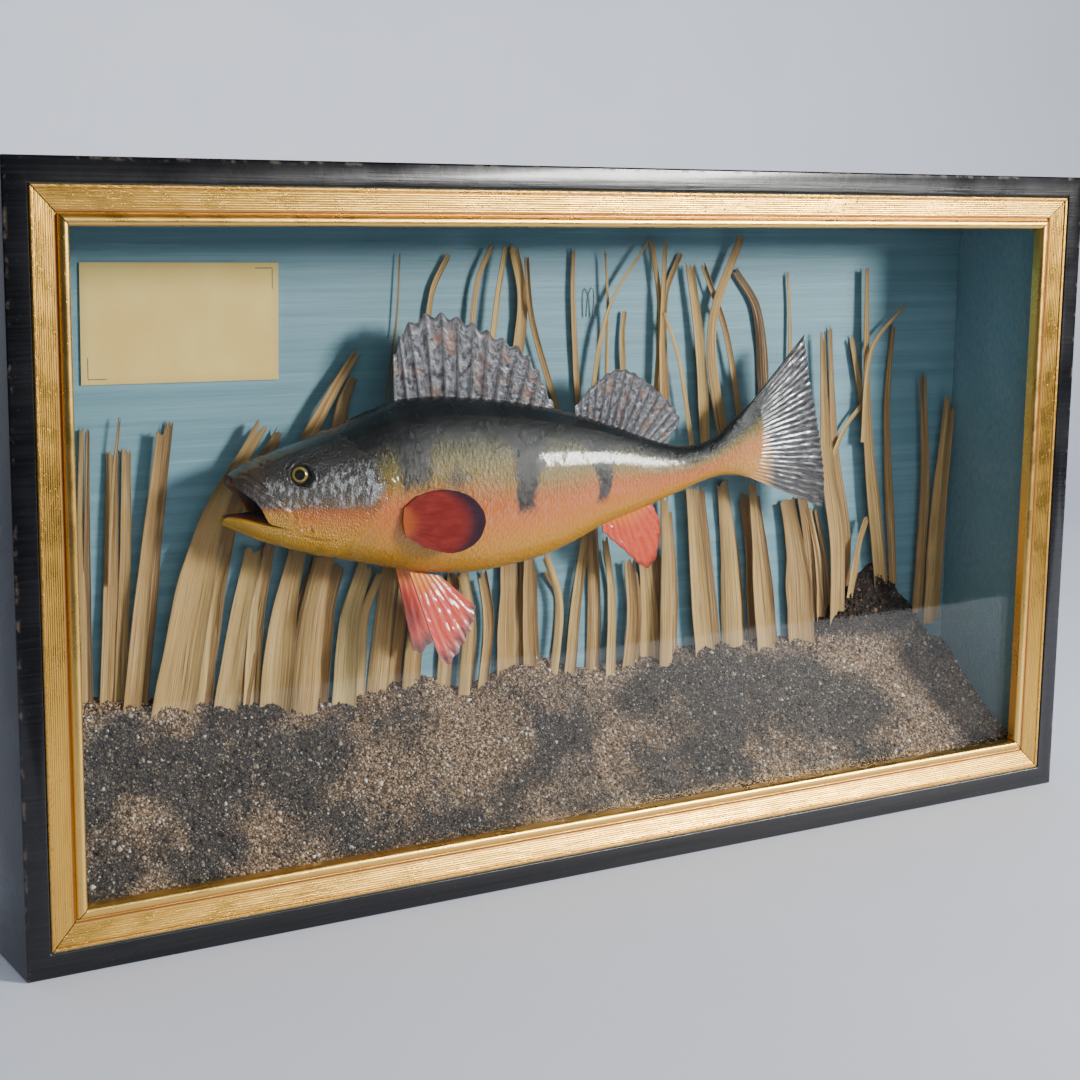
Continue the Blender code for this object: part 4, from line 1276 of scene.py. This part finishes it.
def build_eyes():
    iris, clear = glass_iris(), cornea()
    for name, side in (("near", -1), ("far", 1)):
        centre = Vector((EYE[0], across(side * EYE_OUT), EYE[1])) * MM
        face = Matrix.Rotation(radians(90 * -side), 3, "X")
        yaw = Matrix.Rotation(radians(EYE_YAW * side), 3, "Z")
        aim = yaw @ Matrix.Rotation(radians(EYE_TILT * side), 3, "X") @ face

        def seat(bm):
            bmesh.ops.rotate(bm, matrix=aim, verts=bm.verts)
            bmesh.ops.translate(bm, vec=centre, verts=bm.verts)

        bm = bmesh.new()
        bmesh.ops.create_uvsphere(bm, u_segments=48, v_segments=32, radius=1)
        uv = bm.loops.layers.uv.new("iris")
        for loop in [loop for bm_face in bm.faces for loop in bm_face.loops]:
            spot = loop.vert.co
            far = hypot(spot.x, spot.y) * EYE_RADIUS
            loop[uv].uv = (far if spot.z > 0 else 2 * EYE_RADIUS - far, abs(np.arctan2(spot.y, spot.x)))
        for vert in bm.verts:
            far = hypot(vert.co.x, vert.co.y) * EYE_RADIUS
            height = vert.co.z * EYE_HALF
            if vert.co.z > 0 and far < IRIS_RADIUS:
                flat = EYE_HALF * (1 - (IRIS_RADIUS / EYE_RADIUS) ** 2) ** 0.5
                height = min(height, flat - IRIS_DISH * (1 - far / IRIS_RADIUS))
            vert.co = Vector((vert.co.x * EYE_RADIUS, vert.co.y * EYE_RADIUS, height)) * MM
        seat(bm)
        add("eyeball_" + name, bm, iris, ("eye_" + name,), sharp=0)
        bm = bmesh.new()
        bmesh.ops.create_uvsphere(bm, u_segments=40, v_segments=24, radius=1)
        low = [vert for vert in bm.verts if vert.co.z < -0.05]
        bmesh.ops.delete(bm, geom=low, context="VERTS")
        for vert in bm.verts:
            wide = CORNEA_RADIUS
            vert.co = Vector((vert.co.x * wide, vert.co.y * wide, CORNEA_FOOT + vert.co.z * CORNEA_RISE)) * MM
        seat(bm)
        add("cornea_" + name, bm, clear, ("eye_" + name,), sharp=0)


# ---------------------------------------------------------------- the fins


def on_line(line, first, last, lift, count=9):
    """Points along a line of the body, lift above it."""
    xs = [first + (last - first) * k / (count - 1) for k in range(count)]
    return [(x, curve(line, x) + lift) for x in xs]


def build_fin(name, node, base, edge, rays, finish, middle=0.0, splay=0.0, hinge=None, per_ray=8,
              rows=36, membrane=0.16, spine=0.42, scallop=1.0, crinkle=0.25, sharpness=3.0,
              crescent=None):
    """A fin of raised rays with a thin, crinkled membrane between them, dipping at its free edge."""
    bm = bmesh.new()
    columns = (rays - 1) * per_ray

    def ridge_at(u):
        return abs(cos(pi * u * (rays - 1))) ** sharpness

    def place(u, v):
        q = u * (rays - 1)
        root, tip = Vector(path(base, u)), Vector(path(edge, u))
        run = tip - root
        length = max(run.length, 1e-3)
        dip = scallop * sin(pi * q) ** 2 * min(1.0, length / 8)
        ragged = 0.25 * scallop * wave(q * 1.7, 3.1) * min(1.0, length / 8)
        point = root + run * v * (1 - (dip + ragged) / length)
        loose = 1 - ridge_at(u)
        y = crinkle * loose * (wave(q * 1.3, v * 7, 1) + 0.6 * wave(q * 2.9, v * 17, 4)) * min(1, 4 * v)
        return Vector((point.x, y, point.y)) * MM

    def keep(u, v):
        ridge = ridge_at(u)
        values = {"ridge": ridge * (1 - 0.25 * v), "half": membrane + spine * ridge * (1 - 0.78 * v)}
        if crescent:
            values["crescent"] = crescent(u, v)
        return values

    made = sheet(bm, columns, rows, place, lambda u, v: (u * (rays - 1), v), keep, "rays")
    half = bm.verts.layers.float["half"]
    front = set(made)
    bmesh.ops.extrude_face_region(bm, geom=bm.faces[:], use_keep_orig=True)
    for vert in bm.verts:
        vert.co.y += (-1 if vert in front else 1) * vert[half] * MM
    if splay:
        axis, x, z = hinge
        turn = Matrix.Rotation(radians(splay), 3, axis)
        bmesh.ops.rotate(bm, cent=(x * MM, 0, z * MM), matrix=turn, verts=bm.verts)
    bmesh.ops.translate(bm, vec=(0, across(middle) * MM, 0), verts=bm.verts)
    add(name, bm, finish, (node,), sharp=60)


def build_fins():
    pewter = pewter_fin()
    build_fin("first_dorsal", "dorsal_fin_first", on_line(BACK_LINE, -90.2, -5.5, -0.8),
              FIRST_DORSAL_EDGE, 14, pewter, per_ray=10, rows=44, scallop=2.6,
              crinkle=0.13, sharpness=9)
    build_fin("second_dorsal", "dorsal_fin_second", on_line(BACK_LINE, 6.1, 59.7, -0.8),
              SECOND_DORSAL_EDGE, 16, pewter, scallop=0.8, crinkle=0.12, spine=0.35,
              sharpness=5)
    roots = [(TAIL_END + 0.6, z) for z in (207.4, 198, 188.8, 178.7, 170.2)]
    build_fin("caudal_fin", "tail_fin", roots, TAIL_FIN_EDGE, TAIL_RAYS, tail_pewter(),
              per_ray=6, rows=44, scallop=0.7, crinkle=0.3, sharpness=2)
    anal = red_fin("anal red", (0.80, 0.20, 0.02), (0.66, 0.070, 0.030), (0.04, 0.015, 0.016), 0.84, 0.45)
    build_fin("anal", "anal_fin", on_line(BELLY_LINE, 22.8, 50.6, 0.8), ANAL_EDGE, 11, anal,
              rows=30, scallop=0.7, crinkle=0.35, spine=0.40, sharpness=2)
    pelvic = red_fin("pelvic red", (0.84, 0.26, 0.03), (0.70, 0.080, 0.060), (0.16, 0.085, 0.085), 0.74, 0.25)
    pectoral = pectoral_paint()
    for side, where in ((-1, "near"), (1, "far")):
        build_fin("pelvic_" + where, "pelvic_fin_" + where, [(-86.2, 140.3), (-78.7, 138.9), (-71.2, 137.5)],
                  PELVIC_EDGE, 7, pelvic, side * 8, side * 9, ("X", -78.7, 138.8),
                  per_ray=12, scallop=1.2, crinkle=0.30, spine=0.40)
        build_fin("pectoral_" + where, "pectoral_fin_" + where,
                  [(-97.7, 172.6), (-98.1, 166.6), (-97.1, 160.5)], PECTORAL_EDGE, 14, pectoral,
                  side * 24.2, -5 if side < 0 else 2, ("Z", -97.9, 166.6), per_ray=6,
                  rows=34, scallop=0.15, crinkle=0.08, spine=0.05, membrane=0.45, sharpness=2,
                  crescent=lambda u, v: v - 1 + 0.30 * sin(pi * min(max((u - 0.04) / 0.86, 0), 1)) ** 0.7)


# ---------------------------------------------------------------- the reeds

REED_Y = (31.0, 29.0, 27.0)      # three rows in front of the backboard
# (row, width, share of it left at the top, tone, (x, z) from the gravel up)
LEAVES = {
    "left": (
        (0, 5.0, 0.5, 0.45, ((-229, 88), (-228, 153), (-226, 211))),
        (0, 7.7, 0.7, 0.60, ((-219, 88), (-215, 147), (-213, 199))),
        (1, 3.0, 0.3, 0.50, ((-216, 150), (-213, 190), (-210, 214))),
        (1, 8.2, 0.6, 0.55, ((-209, 86), (-200, 151), (-192, 208))),
        (0, 5.5, 0.4, 0.42, ((-247, 90), (-246, 135), (-243, 172), (-236, 186))),
        (1, 4.0, 0.6, 0.50, ((-240, 88), (-242, 130), (-247, 166), (-250, 180))),
        (2, 21.0, 0.33, 0.52, ((-192, 84), (-172, 162), (-145, 209))),
        (0, 7.6, 0.8, 0.70, ((-177, 82), (-171, 130), (-165, 156))),
        (1, 10.6, 0.7, 0.60, ((-166, 80), (-156, 124), (-149, 153))),
        (0, 4.9, 0.6, 0.75, ((-153, 82), (-149, 119), (-144, 148))),
        (1, 15.0, 0.6, 0.50, ((-141, 78), (-135, 122), (-128, 150))),
        (2, 6.8, 0.6, 0.38, ((-132, 196), (-112, 219), (-98, 239))),
        (1, 9.0, 0.6, 0.48, ((-109, 200), (-104, 216), (-99, 227))),
        (2, 15.0, 0.7, 0.58, ((-127, 78), (-122, 117), (-115, 146))),
        (1, 11.4, 0.7, 0.98, ((-106, 76), (-102, 114), (-93, 141))),
        (0, 10.5, 0.8, 0.55, ((-88, 76), (-83, 112), (-79, 142))),
        (0, 1.2, 0.8, 0.35, ((-83, 210), (-77, 251), (-75, 283))),
    ),
    "middle": (
        (1, 7.5, 0.8, 0.50, ((-72, 79), (-69, 101), (-65, 122))),
        (0, 5.5, 0.8, 0.60, ((-53, 82), (-50, 109), (-47, 132))),
        (2, 6.6, 0.7, 0.70, ((-42, 81), (-40, 108), (-44, 133))),
        (1, 4.5, 0.8, 0.45, ((-32, 82), (-29, 107), (-33, 129))),
        (0, 12.6, 0.8, 0.58, ((-16, 85), (-16, 110), (-16, 136))),
        (1, 6.9, 0.8, 0.50, ((-4, 86), (-6, 114), (-6, 136))),
        (2, 4.7, 0.9, 0.62, ((8, 83), (11, 113), (2, 138))),
        (1, 5.9, 0.6, 0.55, ((18, 81), (22, 112), (27, 148))),
        (0, 5.4, 0.8, 0.48, ((33, 79), (33, 110), (31, 148))),
        (2, 5.4, 0.6, 0.65, ((42, 79), (42, 110), (37, 143))),
        (1, 7.4, 0.8, 0.50, ((53, 78), (56, 103), (53, 130))),
        (0, 3.0, 0.9, 0.45, ((-62, 246), (-58, 265), (-49, 282))),
        (1, 3.2, 0.8, 0.50, ((-39, 246), (-35, 269), (-27, 286))),
        (2, 3.3, 0.8, 0.62, ((-29, 241), (-25, 265), (-21, 286))),
        (0, 6.7, 0.8, 0.55, ((-13, 236), (-10, 259), (-15, 286))),
        (1, 2.9, 0.8, 0.45, ((11, 212), (-5, 250), (-9, 281))),
        (0, 3.5, 0.7, 0.50, ((23, 215), (19, 259), (19, 284))),
        (1, 2.3, 0.7, 0.55, ((38, 217), (38, 254), (36, 283))),
        (2, 2.9, 0.7, 0.60, ((27, 213), (37, 254), (61, 289))),
        (0, 3.6, 0.7, 0.48, ((50, 217), (48, 239), (49, 254))),
    ),
    "right": (
        (0, 11.0, 0.7, 0.55, ((69, 78), (67, 107), (64, 130))),
        (2, 10.0, 0.6, 0.60, ((77, 80), (76, 117), (73, 161))),
        (1, 14.0, 0.6, 0.52, ((102, 80), (95, 126), (90, 165))),
        (0, 16.0, 0.6, 0.55, ((124, 80), (119, 123), (112, 166))),
        (2, 12.0, 0.5, 0.62, ((140, 81), (133, 123), (127, 166))),
        (1, 16.6, 0.5, 0.48, ((166, 81), (160, 120), (152, 155))),
        (0, 7.0, 0.6, 0.50, ((182, 83), (177, 118), (169, 148))),
        (2, 10.5, 0.3, 0.55, ((188, 92), (186, 130), (178, 170), (174, 205), (171, 241))),
        (1, 3.6, 0.8, 0.50, ((67, 205), (69, 253), (63, 288))),
        (2, 3.7, 0.6, 0.58, ((70, 205), (69, 250), (70, 289))),
        (0, 3.7, 0.7, 0.45, ((76, 208), (73, 258), (83, 283))),
        (2, 2.5, 0.8, 0.85, ((89, 194), (80, 228), (70, 253))),
        (1, 6.3, 0.7, 0.60, ((99, 188), (93, 238), (86, 277))),
        (2, 7.7, 0.6, 0.62, ((112, 183), (100, 243), (117, 291))),
        (0, 8.0, 0.6, 0.08, ((139, 209), (131, 252), (116, 273))),
        (1, 3.2, 0.8, 0.52, ((124, 182), (111, 237), (94, 277))),
        (0, 2.0, 0.8, 0.45, ((153, 228), (152, 252), (150, 272))),
        (1, 10.0, 0.4, 0.48, ((219, 110), (205, 192), (201, 274))),
        (2, 2.8, 0.6, 0.55, ((201, 190), (205, 230), (228, 254))),
        (0, 7.2, 0.5, 0.50, ((223, 110), (209, 176), (193, 240))),
        (0, 5.1, 0.5, 0.42, ((230, 110), (221, 191), (223, 244))),
        (1, 5.9, 0.5, 0.50, ((246, 92), (247, 157), (242, 215))),
        (2, 9.0, 0.5, 0.55, ((255, 86), (257, 146), (261, 205))),
        (1, 2.7, 0.7, 0.60, ((177, 172), (190, 188), (202, 202))),
        (2, 5.6, 0.7, 0.62, ((196, 106), (201, 125), (206, 141))),
    ),
}
LEAF_COLUMNS, LEAF_ROWS = 10, 34


def lay_leaf(bm, number, row, width, top, points):
    """One dried strip: gutter-shaped, a little twisted, torn at its end."""
    seed = number * 3.7
    points = ((points[0][0], points[0][1] - 9), *points[1:])
    height = points[-1][1] - points[0][1]
    curl = (0.16 + 0.30 * chance(number, 1)) * (-1 if chance(number, 2) < 0.3 else 1)
    turn = radians(-14 + 28 * chance(number, 3))
    twist = radians(-45 + 90 * chance(number, 4)) * min(1.0, height / 120) * (1.4 if width < 5 else 0.6)
    depth = REED_Y[row]

    def place(u, v):
        ragged = (0.04 + 2.6 / height) * abs(wave(u * 4.3, seed)) + 0.02 * abs(wave(u * 13, seed, 3))
        at = v * (1 - ragged * ease(v, 0.4, 1))
        (x, z), (x1, z1) = path(points, at), path(points, min(at + 0.02, 1))
        if at > 0.98:
            x0, z0 = path(points, at - 0.02)
            x1, z1 = 2 * x - x0, 2 * z - z0
        run = Vector((x1 - x, 0, z1 - z)).normalized()
        side = Vector((run.z, 0, -run.x))
        spread = width * (1 - (1 - top) * ease(v, 0.25, 1.0)) * (1 + 0.07 * wave(v * 6, seed, 9))
        q = 2 * u - 1
        angle = turn + twist * (v - 0.3) + 0.12 * wave(v * 4, seed, 5)
        pinch = 1 - 0.10 * abs(curl)
        edge = q * spread / 2 * pinch
        rise = curl * spread * (0.5 - q * q) * 0.55 + 0.10 * spread * wave(q * 1.7, v * 3.5, seed) * 0.5
        lean = 0.7 * wave(v * 2.2, seed, 1)
        flat = side * (edge * cos(angle) - rise * sin(angle))
        y = depth + min(max(edge * sin(angle) + rise * cos(angle) + lean, -4.5), 32.4 - depth)
        return Vector((x + flat.x, y, z + flat.z)) * MM

    def mark(u, v):
        return (u * width + number * 31.0, v * height)

    # fold runs from 0 on the leaf's middle line to 1 at its edges; the finish paints shade with it.
    return sheet(bm, LEAF_COLUMNS, LEAF_ROWS, place, mark,
                 lambda u, v: {"fold": abs(2 * u - 1), "height": v}, uv="fibre")


def build_reeds():
    finish = dried_reed()
    nodes = {"left": [], "middle": [], "right": []}
    for name in NODES:
        if name.startswith("reed_"):
            low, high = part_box(name)
            where = (low.x + high.x) / 2 / MM
            nodes["left" if where < -76 else "middle" if where < 60 else "right"].append(name)
    number = 0
    for part, leaves in LEAVES.items():
        bm = bmesh.new()
        tone_layer = bm.verts.layers.float.new("tone")
        for row, width, top, tone, points in leaves:
            strips = [(row, width, tone, points)]
            if width > 4 and points[0][1] < 100:
                aside = width * (0.45 + 0.4 * chance(number, 7))
                shorter = 14 * chance(number, 8) - 4
                behind = [(x + aside, z) for x, z in points]
                behind[-1] = (behind[-1][0], behind[-1][1] - shorter)
                # The strip behind is a darker copy in tone: painted shade from the leaf in front.
                strips.append((0, width * 0.75, tone - 0.22, behind))
            for strip_row, strip_width, strip_tone, strip_points in strips:
                number += 1
                for vert in lay_leaf(bm, number, strip_row, strip_width, top, strip_points):
                    vert[tone_layer] = strip_tone + 0.24 * (chance(number, 6) - 0.5)
        bmesh.ops.solidify(bm, geom=bm.faces[:], thickness=0.25 * MM)
        add("reeds_" + part, bm, finish, nodes[part], sharp=60)


STAPLE = (29, 251, 2.0, 14)      # x of its middle, z of its feet, half width, height
STAPLE_Y, STAPLE_LEAN, WIRE_RADIUS = 31.5, 1.5, 0.35


def build_staple():
    """The loop of wire driven into the backboard among the reeds."""
    bm = bmesh.new()

    def place(u, v):
        turn = 2 * pi * u
        at = pi * v
        middle, foot, half, height = STAPLE
        x, z = middle + half * cos(at), foot + height * sin(at) ** 0.6
        out = Vector((cos(at), 0, sin(at))) * WIRE_RADIUS * cos(turn)
        y = STAPLE_Y + WIRE_RADIUS * sin(turn) - STAPLE_LEAN * sin(at)
        return Vector((x + out.x, y, z + out.z)) * MM

    sheet(bm, 10, 40, place)
    bmesh.ops.remove_doubles(bm, verts=bm.verts, dist=1e-6)
    close_ends(bm)
    add("staple", bm, bright_wire(), (), sharp=0)


# ---------------------------------------------------------------- the studio

# The sweep, in metres: its front edge, where it starts to turn up, the turn's radius, the wall's height
FLOOR_FRONT, FLOOR_BACK, FLOOR_BEND, WALL_HEIGHT = -0.42, 0.75, 0.35, 2.6
FLOOR_HALF = 3.2                 # and half its width


def build_floor():
    """A pale sweep: level under the case, turning up into a wall behind it."""
    bm = bmesh.new()

    def place(u, v):
        span, bend = FLOOR_BACK - FLOOR_FRONT, FLOOR_BEND
        total = span + bend * pi / 2 + WALL_HEIGHT
        at = v * total
        x = (2 * u - 1) * FLOOR_HALF
        if at < span:
            return Vector((x, FLOOR_FRONT + at, 0))
        if at < span + bend * pi / 2:
            turn = (at - span) / bend
            return Vector((x, FLOOR_BACK + bend * sin(turn), bend * (1 - cos(turn))))
        return Vector((x, FLOOR_BACK + bend, bend + at - span - bend * pi / 2))

    sheet(bm, 8, 80, place)
    mesh = mesh_of("floor", bm)
    mesh.shade_smooth()
    mesh.materials.append(studio_floor().material)
    floor = link("floor", mesh)


LIT_POINT = Vector((0, 0, 0.16))
ROOM_COLOUR, ROOM_STRENGTH = (0.62, 0.70, 0.85, 1), 0.10


def add_lamp(name, way, far, size, power, colour, glossy=True):
    """A square lamp that looks at the case from a direction."""
    lamp = bpy.data.lights.new(name, "AREA")
    lamp.shape = "RECTANGLE"
    lamp.size, lamp.size_y = size
    lamp.energy = power
    lamp.color = colour
    obj = link(name, lamp)
    obj.location = LIT_POINT + Vector(way).normalized() * far
    obj.rotation_euler = (LIT_POINT - obj.location).to_track_quat("-Z", "Y").to_euler()
    obj.visible_glossy = glossy


def light_scene():
    add_lamp("key", (0.62, -0.77, 0.27), 1.7, (0.42, 0.34), 45, (1.0, 0.985, 0.96))
    add_lamp("fill", (-0.35, -0.90, 0.45), 2.4, (2.2, 1.6), 16, (0.90, 0.95, 1.0), glossy=False)
    add_lamp("sky", (0.1, -0.25, 1.0), 2.2, (2.0, 2.0), 12, (0.92, 0.96, 1.0), glossy=False)
    world = bpy.data.worlds.new("room")
    world.use_nodes = True
    glow = world.node_tree.nodes["Background"].inputs
    glow["Color"].default_value, glow["Strength"].default_value = ROOM_COLOUR, ROOM_STRENGTH
    bpy.context.scene.world = world


FOCAL_LENGTH, SENSOR_WIDTH = 66.752, 36      # millimetres
CAMERA_AT = (-0.504129, -0.785274, 0.307257)
CAMERA_YAW, CAMERA_PITCH, CAMERA_ROLL = -0.555032, -0.169013, -0.0119414


def place_camera():
    lens = bpy.data.cameras.new("camera")
    lens.lens = FOCAL_LENGTH
    lens.sensor_width = SENSOR_WIDTH
    camera = link("camera", lens)
    camera.matrix_world = (
        Matrix.Translation(CAMERA_AT) @ Matrix.Rotation(CAMERA_YAW, 4, "Z")
        @ Matrix.Rotation(CAMERA_PITCH, 4, "X") @ Matrix.Rotation(CAMERA_ROLL, 4, "Y")
        @ Matrix.Rotation(pi / 2, 4, "X")
    )
    bpy.context.scene.camera = camera


def paint_kept_nodes():
    """Finishes on the CAD pieces that stay as they are."""
    for node, finish in (("backboard", BOARD), ("glass", window_glass()), ("label_card", buff_card()),
                         ("mount_rod_front", bright_wire()), ("mount_rod_rear", bright_wire())):
        NODES[node].data.materials.clear()
        NODES[node].data.materials.append(finish.material)


BOARD = board_paint()
build_carcass()
build_slip()
build_bed()
build_grains()
build_skin()
build_scales()
build_tongue()
build_eyes()
build_fins()
build_reeds()
build_staple()
paint_kept_nodes()
build_floor()
light_scene()
place_camera()
